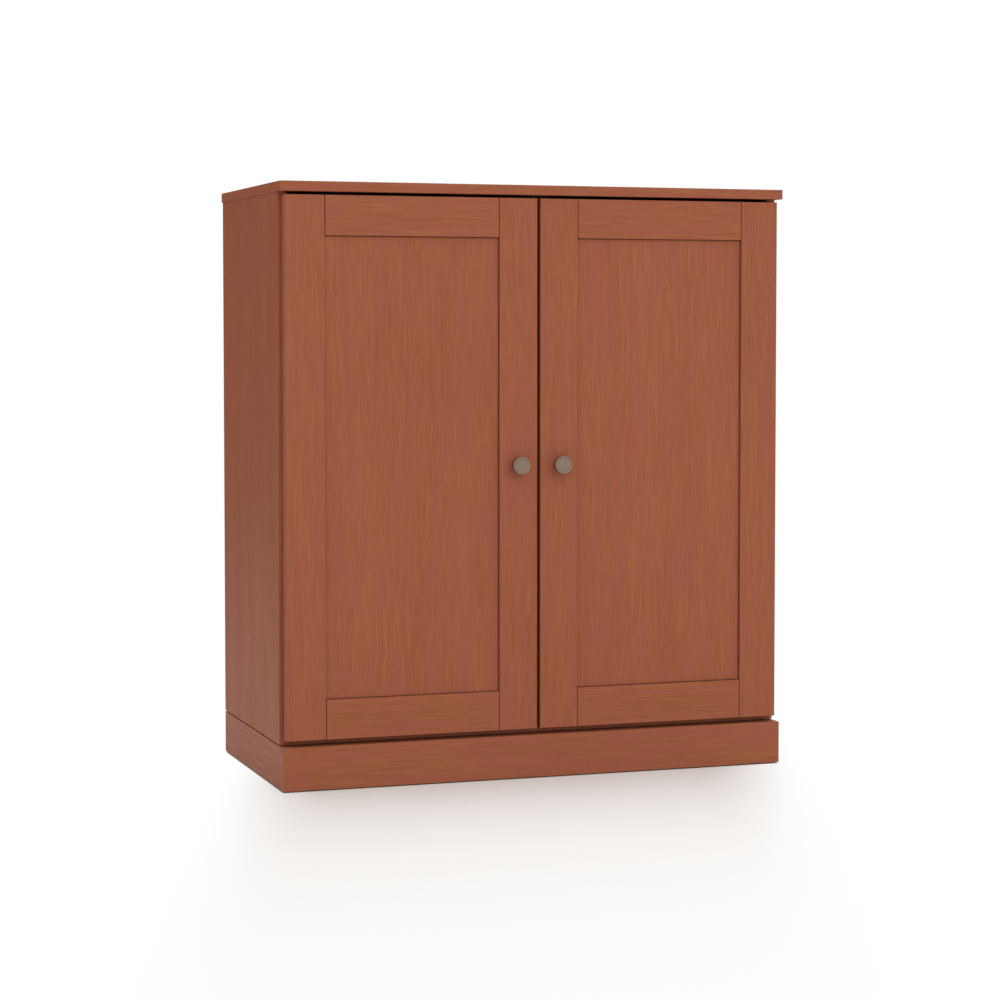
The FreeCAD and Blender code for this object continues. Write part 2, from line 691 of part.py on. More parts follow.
def plinth():
    """The base: mitred boards, rear rail, front batten, corner blocks and screws into the bottom panel."""
    plinth_board(
        "front_plinth_board",
        (
            ("-plinth_out", "plinth_front"),
            ("plinth_out", "plinth_front"),
            ("plinth_in", "plinth_inner"),
            ("-plinth_in", "plinth_inner"),
        ),
        "y-",
    )
    for side, hand in HANDS.items():
        plinth_board(
            f"{side}_plinth_board",
            (
                (on(hand, "plinth_in"), "plinth_inner"),
                (on(hand, "plinth_out"), "plinth_front"),
                (on(hand, "plinth_out"), "plinth_back"),
                (on(hand, "plinth_in"), "plinth_back"),
            ),
            "x+" if hand > 0 else "x-",
        )
    rail = box(
        "rear_plinth_rail",
        ("-plinth_in", "plinth_in"),
        ("plinth_rear", "plinth_back"),
        ("0", "plinth_height"),
    )
    keep(rail)
    batten = box(
        "front_plinth_batten",
        ("-(plinth_in - block_width)", "plinth_in - block_width"),
        ("plinth_inner", "case_front + batten_overlap"),
        ("plinth_height - batten_height", "plinth_height"),
    )
    keep(batten)
    blocks = []
    screws = []
    for span_x, span_y, x, y in block_places():
        block = box("corner_block_blank", span_x, span_y, ("block_low", "plinth_height"))
        start = (x, y, "block_low")
        passage = rod("corner_block_hole", "plinth_screw_radius + fit_play", "block_height", start, "z")
        blocks.append(cut("corner_block", block, passage))
        grip = "block_height + plinth_screw_grip"
        head = ("plinth_screw_head_radius", "plinth_screw_head")
        screws.append(screw("plinth_screw", "plinth_screw_radius", grip, *head, start, "z", "-z"))
    group("plinth_corner_blocks", blocks)
    group("plinth_screws", screws)


# Fasteners of the case


def cam_locks():
    """Slotted cam locks, under the bottom panel and inside the side panels."""
    locks = []
    for hand in HANDS.values():
        for y in JOINT_YS:
            at = (on(hand, "cam_x"), y, "plinth_height")
            body = rod("floor_cam_body", "cam_radius", "bottom_thickness - cam_skin", at, "z")
            hollow_at = (on(hand, "cam_x - cam_pocket"), y, "floor_mid")
            length = "cam_radius * 2 + cam_pocket"
            hollow = rod("floor_cam_hollow", "bolt_channel_radius", length, hollow_at, OUTWARD[hand])
            slot = box(
                "floor_cam_slot",
                about(on(hand, "cam_x"), "cam_slot / 2"),
                about(y, "cam_slot_half"),
                ("plinth_height", "plinth_height + cam_slot"),
            )
            locks.append(cut("floor_cam", body, hollow, slot))
            at = (on(hand, "side_in"), y, "cam_z")
            body = rod("side_cam_body", "cam_radius", "side_thickness - cam_skin", at, OUTWARD[hand])
            hollow_at = (on(hand, "side_mid"), y, "cam_z - cam_pocket")
            hollow = rod("side_cam_hollow", "bolt_channel_radius", length, hollow_at, "z")
            slot = box(
                "side_cam_slot",
                across(hand, "side_in", "side_in + cam_slot"),
                about(y, "cam_slot_half"),
                about("cam_z", "cam_slot / 2"),
            )
            locks.append(cut("side_cam", body, hollow, slot))
    group("cam_locks", locks)


def cam_bolt(name, at, head_at, into, back):
    """A bolt whose thread is in one board and whose head is in the cam lock of the other."""
    thread = rod(f"{name}_thread", "bolt_radius", "bolt_grip", at, into)
    neck = rod(f"{name}_neck", "bolt_neck_radius", "cam_distance", at, back)
    head = rod(f"{name}_head", "bolt_head_radius", "bolt_head", head_at, back)
    return fuse(name, thread, neck, head)


def cam_bolts_and_dowels():
    """The bolts and dowels of the four case joints."""
    bolts = []
    dowels = []
    for hand in HANDS.values():
        for y in JOINT_YS:
            at = (on(hand, "side_in"), y, "floor_mid")
            head_at = (on(hand, "cam_x + bolt_head / 2"), y, "floor_mid")
            bolts.append(cam_bolt("floor_bolt", at, head_at, OUTWARD[hand], INWARD[hand]))
            at = (on(hand, "side_mid"), y, "top_under")
            head_at = (on(hand, "side_mid"), y, "cam_z + bolt_head / 2")
            bolts.append(cam_bolt("top_bolt", at, head_at, "z", "-z"))
        for y in DOWEL_YS:
            at = (on(hand, "side_in - dowel_half"), y, "floor_mid")
            dowels.append(rod("floor_dowel", "dowel_radius", "2 * dowel_half", at, OUTWARD[hand]))
            at = (on(hand, "side_mid"), y, "top_under - dowel_half")
            dowels.append(rod("top_dowel", "dowel_radius", "2 * dowel_half", at, "z"))
    group("cam_bolts", bolts)
    group("dowels", dowels)


def back_panel_nails():
    """Nails through the back panel."""
    grip = "back_thickness + nail_grip"
    head = ("nail_head_radius", "nail_head")
    nails = [
        screw("nail", "nail_radius", grip, *head, (x, "back_face", z), "-y", "y")
        for _, x, z in nail_places()
    ]
    group("back_panel_nails", nails)


# Doors


def door_stiles(side, hand):
    """The two uprights of a door, grooved for the panel and bored for their fittings."""
    high = ("door_low", "door_high")
    deep = ("door_front", "door_back")
    groove_y = ("panel_front", "panel_back")
    outer = "x+" if hand > 0 else "x-"
    inner = "x-" if hand > 0 else "x+"

    name = f"{side}_door_hinge_stile"
    blank = box(f"{name}_blank", across(hand, "hinge_stile_in", "door_edge"), deep, high)
    soft = eased(f"{name}_soft", blank, (f"{outer} y-", f"{outer} y+", "y- z+", "y- z-"))
    lined = bevelled(f"{name}_lined", soft, (f"{inner} y-",))
    groove_x = across(hand, "hinge_stile_in", "hinge_stile_in + groove_depth")
    tools = [box(f"{name}_groove", groove_x, groove_y, high)]
    for hinge_z in HINGES.values():
        at = (on(hand, "cup_x"), "door_back", hinge_z)
        tools.append(rod(f"{name}_bore", "cup_radius + cup_play", "cup_depth + cup_play", at, "-y"))
        for sign in "+-":
            at = (on(hand, "cup_screw_x"), "door_back", f"{hinge_z} {sign} cup_screw_half")
            tools.append(hole(f"{name}_pilot", "cup_screw_radius", "cup_screw_grip", at, "-y"))
    keep(cut(name, lined, *tools))

    name = f"{side}_door_latch_stile"
    blank = box(f"{name}_blank", across(hand, "door_meet", "latch_stile_in"), deep, high)
    soft = eased(f"{name}_soft", blank, (f"{inner} y-", f"{inner} y+", "y- z+", "y- z-"))
    lined = bevelled(f"{name}_lined", soft, (f"{outer} y-",))
    groove_x = across(hand, "latch_stile_in - groove_depth", "latch_stile_in")
    knob_at = (on(hand, "knob_x"), "door_back", "knob_z")
    strike_at = (on(hand, "strike_x_mid"), "door_back", "strike_mid")
    tools = [
        box(f"{name}_groove", groove_x, groove_y, high),
        rod(f"{name}_through", "knob_screw_radius + fit_play", "door_thickness", knob_at, "-y"),
        hole(f"{name}_pilot", "strike_screw_radius", "strike_screw_grip", strike_at, "-y"),
    ]
    keep(cut(name, lined, *tools))


def door_rail(name, hand, span_z, groove_z, outer, inner):
    """A rail between the stiles, with a stub tenon at each end and a groove for the panel."""
    groove_y = ("panel_front", "panel_back")
    body_x = across(hand, "latch_stile_in + joint_gap", "hinge_stile_in - joint_gap")
    tenon_x = across(
        hand,
        "latch_stile_in - groove_depth + panel_play",
        "hinge_stile_in + groove_depth - panel_play",
    )
    blank = box(f"{name}_blank", body_x, ("door_front", "door_back"), span_z)
    soft = eased(f"{name}_soft", blank, (f"y- {outer}",))
    lined = bevelled(f"{name}_lined", soft, ("x- y-", "x+ y-", f"y- {inner}"))
    tenons = box(f"{name}_tenons", tenon_x, groove_y, span_z)
    whole = fuse(f"{name}_whole", lined, tenons)
    groove = box(f"{name}_groove", tenon_x, groove_y, groove_z)
    keep(cut(name, whole, groove))


def door_panel(side, hand):
    """A flat panel whose thinner edge sits in the grooves and whose middle leaves a fine line all round."""
    name = f"{side}_door_panel"
    edge_x = across(
        hand,
        "latch_stile_in - groove_depth + panel_play",
        "hinge_stile_in + groove_depth - panel_play",
    )
    edge_z = ("bottom_rail_high - groove_depth + panel_play", "top_rail_low + groove_depth - panel_play")
    field_x = across(hand, "latch_stile_in + panel_shadow", "hinge_stile_in - panel_shadow")
    field_z = ("bottom_rail_high + panel_shadow", "top_rail_low - panel_shadow")
    edge = box(f"{name}_edge", edge_x, ("panel_front", "panel_back"), edge_z)
    field = box(f"{name}_field", field_x, ("panel_face", "panel_front"), field_z)
    keep(fuse(name, edge, field))


def door(side, hand):
    """A framed door: stiles, rails, panel, knob, strike plate and bumpers."""
    door_stiles(side, hand)
    door_rail(
        f"{side}_door_top_rail",
        hand,
        ("top_rail_low", "door_high"),
        ("top_rail_low", "top_rail_low + groove_depth"),
        "z+",
        "z-",
    )
    door_rail(
        f"{side}_door_bottom_rail",
        hand,
        ("door_low", "bottom_rail_high"),
        ("bottom_rail_high - groove_depth", "bottom_rail_high"),
        "z-",
        "z+",
    )
    door_panel(side, hand)
    knob(side, hand)
    head = ("knob_screw_head_radius", "knob_screw_head")
    grip = "door_thickness + knob_bore - 2 * fit_play"
    at = (on(hand, "knob_x"), "door_back", "knob_z")
    keep(screw(f"{side}_knob_screw", "knob_screw_radius", grip, *head, at, "-y", "y"))

    plate = box(
        f"{side}_strike_blank",
        across(hand, "strike_x", "strike_far"),
        ("door_back", "strike_face"),
        ("strike_low", "strike_high"),
    )
    at = (on(hand, "strike_x_mid"), "strike_face", "strike_mid")
    seat = rod(f"{side}_strike_seat", "strike_screw_head_radius + fit_play", "strike_screw_head", at, "-y")
    passage = rod(f"{side}_strike_hole", "strike_screw_radius + fit_play", "strike_thickness", at, "-y")
    keep(cut(f"{side}_strike_plate", plate, seat, passage))
    at = (on(hand, "strike_x_mid"), "strike_face - strike_screw_head", "strike_mid")
    grip = "strike_thickness - strike_screw_head + strike_screw_grip"
    head = ("strike_screw_head_radius", "strike_screw_head")
    keep(screw(f"{side}_strike_screw", "strike_screw_radius", grip, *head, at, "-y", "y"))

    pads = []
    for x in ("latch_stile_mid", "hinge_stile_mid"):
        at = (on(hand, x), "door_back", "bumper_z")
        pads.append(rod(f"{side}_bumper", "bumper_radius", "door_gap - bumper_air", at, "y"))
    group(f"{side}_door_bumpers", pads)


def knob(side, hand):
    """A turned knob with a flat face inside a raised rim, bored for its screw."""
    name = f"{side}_door_knob"
    body = doc.addObject("PartDesign::Body", name)
    bore = "knob_screw_radius + fit_play"
    face = "-(knob_projection - knob_dish)"
    outline = profile(
        body,
        f"{name}_outline",
        (
            (bore, "0"),
            ("knob_foot_radius", "0"),
            ("knob_foot_radius", "-knob_foot"),
            ("knob_neck_radius", "-(knob_foot + knob_foot_radius - knob_neck_radius)"),
            ("knob_neck_radius", "-(knob_head_back - knob_flare)"),
            ("knob_radius", "-knob_head_back"),
            ("knob_radius", "-knob_projection"),
            ("knob_radius - knob_rim", "-knob_projection"),
            ("knob_radius - knob_rim - knob_dish", face),
            ("0", face),
            ("0", "-knob_bore"),
            (bore, "-knob_bore"),
        ),
    )
    turned = body.newObject("PartDesign::Revolution", f"{name}_turned")
    turned.Profile = outline
    turned.ReferenceAxis = (outline, ["V_Axis"])
    turned.Angle = 360
    for axis, place in zip("xyz", (on(hand, "knob_x"), "door_front", "knob_z")):
        body.setExpression(f"Placement.Base.{axis}", bound(place))
    doc.recompute()
    rims = [
        number
        for number, edge in enumerate(turned.Shape.Edges, start=1)
        if isinstance(edge.Curve, Part.Circle) and abs(edge.Curve.Radius - size("knob_radius")) < TOUCH
    ]
    fillet_body(body, turned, rims, "knob_round")
    keep(body)


# Hinges


def hinge_cup(name, hand, hinge_z):
    """A flanged cup with two cheeks that hold the pin."""
    centre = (on(hand, "cup_x"), "door_back", hinge_z)
    shell = rod(f"{name}_shell", "cup_radius", "cup_depth", centre, "-y")
    disc = rod(f"{name}_disc", "cup_flange_radius", "cup_flange", centre, "y")
    wing = box(
        f"{name}_wing",
        across(hand, "cup_x - cup_wing_width", "cup_x"),
        ("door_back", "door_back + cup_flange"),
        about(hinge_z, "cup_wing_half"),
    )
    outside = fuse(f"{name}_outside", shell, disc, wing)
    mouth = (on(hand, "cup_x"), "door_back + cup_flange", hinge_z)
    hollow = rod(f"{name}_hollow", "cup_inner", "cup_depth - cup_floor + cup_flange", mouth, "-y")
    holes = [
        rod(
            f"{name}_hole",
            "cup_screw_radius + fit_play",
            "cup_flange",
            (on(hand, "cup_screw_x"), "door_back", f"{hinge_z} {sign} cup_screw_half"),
            "y",
        )
        for sign in "+-"
    ]
    open_cup = cut(f"{name}_open", outside, hollow, *holes)
    cheeks = fuse(
        f"{name}_cheeks",
        *[
            box(
                f"{name}_cheek",
                about(on(hand, "pin_x"), "cheek_reach"),
                ("door_back - cup_depth", "pin_y + cheek_reach"),
                (f"{hinge_z} + {low}", f"{hinge_z} + {high}"),
            )
            for low, high in (("cheek_low", "cheek_high"), ("-cheek_high", "-cheek_low"))
        ],
    )
    inside = rod(f"{name}_inside", "cup_radius", "cup_depth", centre, "-y")
    held = fuse(f"{name}_held", open_cup, common(f"{name}_trimmed", cheeks, inside))
    start = (on(hand, "pin_x"), "pin_y", f"{hinge_z} - pin_half - fit_play")
    bore = rod(f"{name}_bore", "pin_radius + fit_play", "2 * pin_half + 2 * fit_play", start, "z")
    keep(cut(name, held, bore))


def hinge_arm(name, hand, hinge_z):
    """An arm cranked out of the cup, with an eye on the pin and a wide end on the plate."""
    narrow = about(hinge_z, "arm_width / 2")
    start = (on(hand, "pin_x"), "pin_y", f"{hinge_z} - arm_width / 2")
    eye = rod(f"{name}_eye", "eye_radius", "arm_width", start, "z")
    web_y = about("pin_y", "arm_thickness / 2")
    web = box(f"{name}_web", across(hand, "arm_x - arm_thickness", "pin_x"), web_y, narrow)
    leg_x = across(hand, "arm_x - arm_thickness", "arm_x")
    leg = box(f"{name}_leg", leg_x, ("pin_y - arm_thickness / 2", "arm_start + arm_thickness"), narrow)
    blank = box(
        f"{name}_wide",
        across(hand, "arm_x - arm_body_thickness", "arm_x"),
        ("arm_start", "arm_end"),
        about(hinge_z, "arm_body_width / 2"),
    )
    free_side = "x-" if hand > 0 else "x+"
    wide = eased(f"{name}_wide_soft", blank, [f"{free_side} {end}" for end in ("z+", "z-", "y+", "y-")])
    whole = fuse(f"{name}_whole", eye, web, leg, wide)
    bore = rod(f"{name}_bore", "pin_radius + running_play", "arm_width", start, "z")
    holes = [
        rod(
            f"{name}_hole",
            "arm_screw_radius + fit_play",
            "arm_body_thickness",
            (on(hand, "arm_x"), f"plate_y {sign} arm_screw_half", hinge_z),
            INWARD[hand],
        )
        for sign in "+-"
    ]
    keep(cut(name, whole, bore, *holes))


def hinge_plate(name, hand, hinge_z):
    """A mounting plate: a raised rail under the arm and two wings screwed to the side panel."""
    wings = box(
        f"{name}_wings",
        across(hand, "side_in - plate_wing", "side_in"),
        about("plate_y", "plate_wing_width / 2"),
        about(hinge_z, "plate_wing_half"),
    )
    rail = box(
        f"{name}_rail",
        across(hand, "arm_x", "side_in"),
        about("plate_y", "plate_rail_half"),
        about(hinge_z, "plate_rail_width / 2"),
    )
    holes = [
        rod(
            f"{name}_hole",
            "plate_screw_radius + fit_play",
            "plate_wing",
            (on(hand, "side_in - plate_wing"), "plate_y", f"{hinge_z} {sign} plate_screw_half"),
            OUTWARD[hand],
        )
        for sign in "+-"
    ]
    holes += [
        hole(
            f"{name}_thread",
            "arm_screw_radius",
            "arm_screw_grip",
            (on(hand, "arm_x"), f"plate_y {sign} arm_screw_half", hinge_z),
            OUTWARD[hand],
        )
        for sign in "+-"
    ]
    keep(cut(name, fuse(f"{name}_whole", wings, rail), *holes))


def hinges():
    """Two hinges for each door, with their pins and screws."""
    arm_screws = []
    plate_screws = []
    for side, hand in HANDS.items():
        pins = []
        cup_screws = []
        for level, hinge_z in HINGES.items():
            name = f"{side}_{level}_hinge"
            hinge_cup(f"{name}_cup", hand, hinge_z)
            hinge_arm(f"{name}_arm", hand, hinge_z)
            hinge_plate(f"{name}_plate", hand, hinge_z)
            start = (on(hand, "pin_x"), "pin_y", f"{hinge_z} - pin_half")
            pins.append(rod(f"{name}_pin", "pin_radius", "2 * pin_half", start, "z"))
            for sign in "+-":
                at = (on(hand, "cup_screw_x"), "door_back + cup_flange", f"{hinge_z} {sign} cup_screw_half")
                grip = "cup_flange + cup_screw_grip"
                head = ("cup_screw_head_radius", "cup_screw_head")
                cup_screws.append(screw(f"{name}_cup_screw", "cup_screw_radius", grip, *head, at, "-y", "y"))
                at = (on(hand, "arm_x - arm_body_thickness"), f"plate_y {sign} arm_screw_half", hinge_z)
                grip = "arm_body_thickness + arm_screw_grip"
                head = ("arm_screw_head_radius", "arm_screw_head")
                turn = (OUTWARD[hand], INWARD[hand])
                arm_screws.append(screw(f"{name}_arm_screw", "arm_screw_radius", grip, *head, at, *turn))
                at = (on(hand, "side_in - plate_wing"), "plate_y", f"{hinge_z} {sign} plate_screw_half")
                grip = "plate_wing + plate_screw_grip"
                head = ("plate_screw_head_radius", "plate_screw_head")
                shank = "plate_screw_radius"
                plate_screws.append(screw(f"{name}_plate_screw", shank, grip, *head, at, *turn))
        group(f"{side}_hinge_pins", pins)
        group(f"{side}_hinge_cup_screws", cup_screws)
    group("hinge_arm_screws", arm_screws)
    group("hinge_plate_screws", plate_screws)


# Catch


def catch():
    """A double magnetic catch under the top panel, with a magnet for each door."""
    blank = box(
        "magnetic_catch_blank",
        ("-catch_half", "catch_half"),
        ("catch_front", "catch_rear"),
        ("catch_low", "top_under"),
    )
    soft = eased("magnetic_catch_soft", blank, ("x- z-", "x+ z-", "y+ z-", "x- y+", "x+ y+"))
    magnets = []
    screws = []
    tools = []
    for side, hand in HANDS.items():
        spans = (
            across(hand, "strike_x", "strike_far"),
            ("catch_front", "catch_front + magnet_depth"),
            ("strike_low", "strike_high"),
        )
        magnets.append(box(f"{side}_magnet", *spans))
        tools.append(box(f"{side}_magnet_pocket", *spans))
        at = (on(hand, "strike_x_mid"), "catch_screw_y", "catch_low")
        through = "top_under - catch_low"
        tools.append(rod(f"{side}_catch_hole", "catch_screw_radius + fit_play", through, at, "z"))
        grip = "top_under - catch_low + catch_screw_grip"
        head = ("catch_screw_head_radius", "catch_screw_head")
        screws.append(screw(f"{side}_catch_screw", "catch_screw_radius", grip, *head, at, "z", "-z"))
    keep(cut("magnetic_catch", soft, *tools))
    group("catch_magnets", magnets)
    group("catch_screws", screws)


def write_pieces():
    """Checks every object of the document and writes each piece to its own file."""
    doc.recompute()
    for item in doc.Objects:
        if "Invalid" in item.State or "Error" in item.State:
            raise RuntimeError(f"{item.Label} failed: {item.State}")
    os.makedirs("parts", exist_ok=True)
    for item in pieces:
        if item.Shape.isNull() or not item.Shape.isValid() or not item.Shape.Solids:
            raise RuntimeError(f"{item.Label} has no sound solid")
        item.Shape.exportStep(f"parts/{item.Label}.step")
    print(len(pieces), "pieces written")


fill_sheets()
top_panel()
for side_name, side_hand in HANDS.items():
    side_panel(side_name, side_hand)
bottom_panel()
back_panel()
shelves()
plinth()
cam_locks()
cam_bolts_and_dowels()
back_panel_nails()
for side_name, side_hand in HANDS.items():
    door(side_name, side_hand)
hinges()
catch()
write_pieces()
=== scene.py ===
import json
import math

import bmesh
import bpy
from bpy.props import FloatProperty, FloatVectorProperty, PointerProperty
from mathutils import Matrix, Vector

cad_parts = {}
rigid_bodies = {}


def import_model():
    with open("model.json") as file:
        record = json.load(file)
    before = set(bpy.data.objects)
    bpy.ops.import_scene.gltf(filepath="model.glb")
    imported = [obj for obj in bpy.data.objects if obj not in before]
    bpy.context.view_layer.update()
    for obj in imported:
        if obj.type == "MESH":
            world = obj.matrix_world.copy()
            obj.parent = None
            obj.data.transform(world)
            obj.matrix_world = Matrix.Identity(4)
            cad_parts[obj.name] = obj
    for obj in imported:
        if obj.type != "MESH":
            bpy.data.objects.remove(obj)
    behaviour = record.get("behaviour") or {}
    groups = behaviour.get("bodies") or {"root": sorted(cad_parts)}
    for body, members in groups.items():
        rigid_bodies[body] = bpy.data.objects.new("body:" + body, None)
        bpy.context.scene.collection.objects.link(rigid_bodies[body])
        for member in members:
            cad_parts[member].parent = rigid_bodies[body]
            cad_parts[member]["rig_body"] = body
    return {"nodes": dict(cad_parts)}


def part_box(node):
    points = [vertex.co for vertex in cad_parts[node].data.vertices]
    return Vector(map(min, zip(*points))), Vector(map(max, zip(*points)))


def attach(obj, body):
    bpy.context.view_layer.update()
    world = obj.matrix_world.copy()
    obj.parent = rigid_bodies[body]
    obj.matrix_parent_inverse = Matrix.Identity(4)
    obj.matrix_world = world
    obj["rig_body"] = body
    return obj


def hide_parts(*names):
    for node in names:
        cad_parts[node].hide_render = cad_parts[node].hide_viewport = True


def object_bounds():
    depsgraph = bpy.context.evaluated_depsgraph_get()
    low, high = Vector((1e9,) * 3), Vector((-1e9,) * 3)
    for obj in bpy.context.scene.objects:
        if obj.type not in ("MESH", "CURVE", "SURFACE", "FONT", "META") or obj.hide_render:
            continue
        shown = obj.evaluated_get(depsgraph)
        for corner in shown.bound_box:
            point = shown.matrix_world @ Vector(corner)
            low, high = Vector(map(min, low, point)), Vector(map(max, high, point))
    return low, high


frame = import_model()
CAD_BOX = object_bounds()

bl_info = {
    "name": "Linen cabinet",
    "version": (1, 0, 0),
    "blender": (4, 5, 0),
    "location": "View3D > Sidebar > Cabinet",
    "description": "Finishes, fittings and studio of a two-door linen cabinet",
    "category": "Object",
}

HANDS = ("left", "right")
LEVELS = ("lower", "upper")


def both(*pieces):
    """The names of pieces that the left half and the right half each have."""
    return [f"{hand}_{piece}" for hand in HANDS for piece in pieces]


# Direction of the grain in the boards of each half
HALF_BOARDS = {
    "side_panel": "Z",
    "plinth_board": "Y",
    "door_hinge_stile": "Z",
    "door_latch_stile": "Z",
    "door_top_rail": "X",
    "door_bottom_rail": "X",
    "door_panel": "Z",
}

# Direction of the grain in the boards that show from outside, in the order in which the log gave them
SHOW_BOARDS = {
    "top_panel": "X",
    "front_plinth_board": "X",
    **{f"{hand}_{board}": grain for hand in HANDS for board, grain in HALF_BOARDS.items()},
    "front_plinth_batten": "X",
    "plinth_corner_blocks": "X",
}
INSIDE_BOARDS = {"bottom_panel": "X", "lower_shelf": "X", "upper_shelf": "X"}

# Turns that lay each direction of the grain along the z of the pattern
QUARTER = math.radians(90)
GRAIN_TURNS = {"X": (0.0, -QUARTER, 0.0), "Y": (QUARTER, 0.0, 0.0), "Z": (0.0, 0.0, 0.0)}

# Layers that make the tone of the stained grain: stretch along the grain and weight
TONE_LAYERS = {"figure": (12, 0.6), "streak": (24, 0.5), "fibre": (26, 1.2), "blotch": (3, 0.2)}
PORE_STRETCH = 45
HUE_STRETCH = 9

# How far the boards' grain sways sideways, in metres, from the middle of the noise that moves it
SWAY_REACH = (0.007, 0.007, 0.0)
NOISE_MIDDLE = (0.5, 0.5, 0.5)

# Faces of the back panel that look backwards by more than this share are bare
REAR_FACING = 0.2

# Sizes of the patterns along x, y and z, in metres; on boards z runs along the grain
PATTERNS = {
    "sway": (0.16, 0.16, 0.5),
    "rings": (0.004, 0.004, 0.35),
    "sawn_fur": (0.0009, 0.0009, 0.02),
    "hardboard_fibre": (0.0035, 0.0035, 0.0035),
    "hardboard_fleck": (0.0012, 0.0012, 0.004),
    "beech_fleck": (0.0015, 0.0004, 0.0004),
    "pewter_cloud": (0.005, 0.005, 0.005),
    "rolling_marks": (0.0002, 0.004, 0.0002),
    "floor_cloud": (0.3, 0.3, 0.3),
    "felt_nap": (0.004, 0.004, 0.004),
}

# Heights of the relief on each surface, in metres
RELIEF = {
    "lacquer": 0.00006,
    "sawn": 0.0002,
    "hardboard": 0.0002,
    "beech": 0.0001,
    "turning": 0.00002,
    "rolling": 0.000015,
}

# How strongly each kind of surface reflects
SHINE = {"lacquer": 0.15, "sawn": 0.2, "hardboard": 0.25, "moulded": 0.15, "floor": 0.25}

# Turning marks on a knob in each metre of its radius, and its ring of painted shade where the face meets the
# rim, as shares of that radius
TURNING_MARKS = 4200.0
RING_START, RING_FULL = 0.66, 0.79
RING_FADE, RING_END = 0.81, 0.88

# Platings: colour setting, roughness and size of the cloudy spots in metres
PLATINGS = {
    "nickel_plate": ("nickel", 0.3, 0.006),
    "zinc_plate": ("zinc", 0.36, 0.003),
    "die_cast_zinc": ("die_cast", 0.5, 0.002),
}
SPOT_TONE = 0.72

# Moulded pieces: colour setting, roughness, size of the texture and height of the relief in metres
MOULDINGS = {
    "catch_plastic": ("catch", 0.5, 0.0004, 0.00004),
    "dark_ceramic": ("magnet", 0.6, 0.0008, 0.00006),
    "soft_pad": ("bumper", 0.85, 0.0005, 0.0001),
}
TEXTURE_TONE = 1.35

# Nodes of the fittings by finish
HINGE_PIECES = [f"{level}_hinge_{piece}" for level in LEVELS for piece in ("arm", "cup", "plate")]
FITTING_NODES = {
    "nickel_plate": both(*HINGE_PIECES, "hinge_pins", "strike_plate"),
    "zinc_plate": ["shelf_pins", "back_panel_nails"],
    "die_cast_zinc": ["cam_locks", "cam_bolts"],
    "catch_plastic": ["magnetic_catch"],
    "dark_ceramic": ["catch_magnets"],
    "soft_pad": both("door_bumpers"),
}

# Nodes whose plain screws get a cross head, in the order in which they are driven
SCREW_NODES = [
    "hinge_arm_screws",
    "hinge_plate_screws",
    "catch_screws",
    "plinth_screws",
    *both("hinge_cup_screws", "strike_screw", "knob_screw"),
]

# Points of a frame screw that belong to its head's rim and to its tip, as shares of its radius and length
HEAD_RIM = 0.95
TIP_REACH = 0.05

# New screws: sides of the round, turn from one screw to the next, blunt tip and rounded shoulder
SCREW_SIDES = 24
SCREW_TURN = math.radians(37)
BLUNT_TIP = 0.3
SHOULDER_DROP = 0.36

# Points closer than this are one point, in metres
SAME_POINT = 0.000001

# Lamps: power setting, width and height, and place, in metres
LAMPS = {
    "key_lamp": ("key_power", (5.0, 4.0), (0.6, -6.6, 4.2)),
    "low_lamp": ("low_power", (2.4, 0.2), (0.1, -2.4, 0.12)),
    "fill_lamp": ("fill_power", (2.0, 2.0), (-3.0, 0.9, 1.3)),
    "top_lamp": ("top_power", (2.6, 2.6), (0.2, 1.3, 4.2)),
}
LAMP_TARGET = (0.0, 0.0, 0.45)

# Dark card: place on the floor, turn, width and height
CARD_PLACE = (-1.6, 2.4)
CARD_TURN = math.radians(12)
CARD_WIDTH, CARD_HEIGHT = 2.8, 3.0
FELT_TONES = ((0.02, 0.02, 0.02), (0.04, 0.04, 0.04))
FELT_ROUGHNESS = 0.9

FLOOR_SIDES = 96
FLOOR_CLOUD_TONE = 0.985
WHITE = (1.0, 1.0, 1.0, 1.0)
SENSOR_WIDTH = 36.0

# Sockets of a Mix node that mixes colours: factor and two colours, and the result
MIX_INPUTS = (0, 6, 7)
MIX_RESULT = 2


def linear(red, green, blue):
    """A colour given as it looks on a screen, 0 to 255, in the values that the shaders use."""
    shares = [value / 255 for value in (red, green, blue)]
    return tuple(s / 12.92 if s <= 0.04045 else ((s + 0.055) / 1.055) ** 2.4 for s in shares)


def colour(name, description, screen):
    """A colour setting, given as it looks on a screen."""
    return FloatVectorProperty(
        name=name,
        description=description,
        default=linear(*screen),
        subtype="COLOR",
        size=3,
        min=0.0,
        max=1.0,
    )


def length(name, description, metres):
    """A length setting."""
    return FloatProperty(name=name, description=description, default=metres, unit="LENGTH", precision=5)


def share(name, description, part):
    """A setting between none and all."""
    return FloatProperty(
        name=name,
        description=description,
        default=part,
        subtype="FACTOR",
        min=0.0,
        max=1.0,
    )


def angle(name, description, degrees):
    """An angle setting."""
    return FloatProperty(name=name, description=description, default=math.radians(degrees), subtype="ANGLE")


def power(name, description, watts):
    """The setting of a lamp's power."""
    return FloatProperty(name=name, description=description, default=watts, unit="POWER")


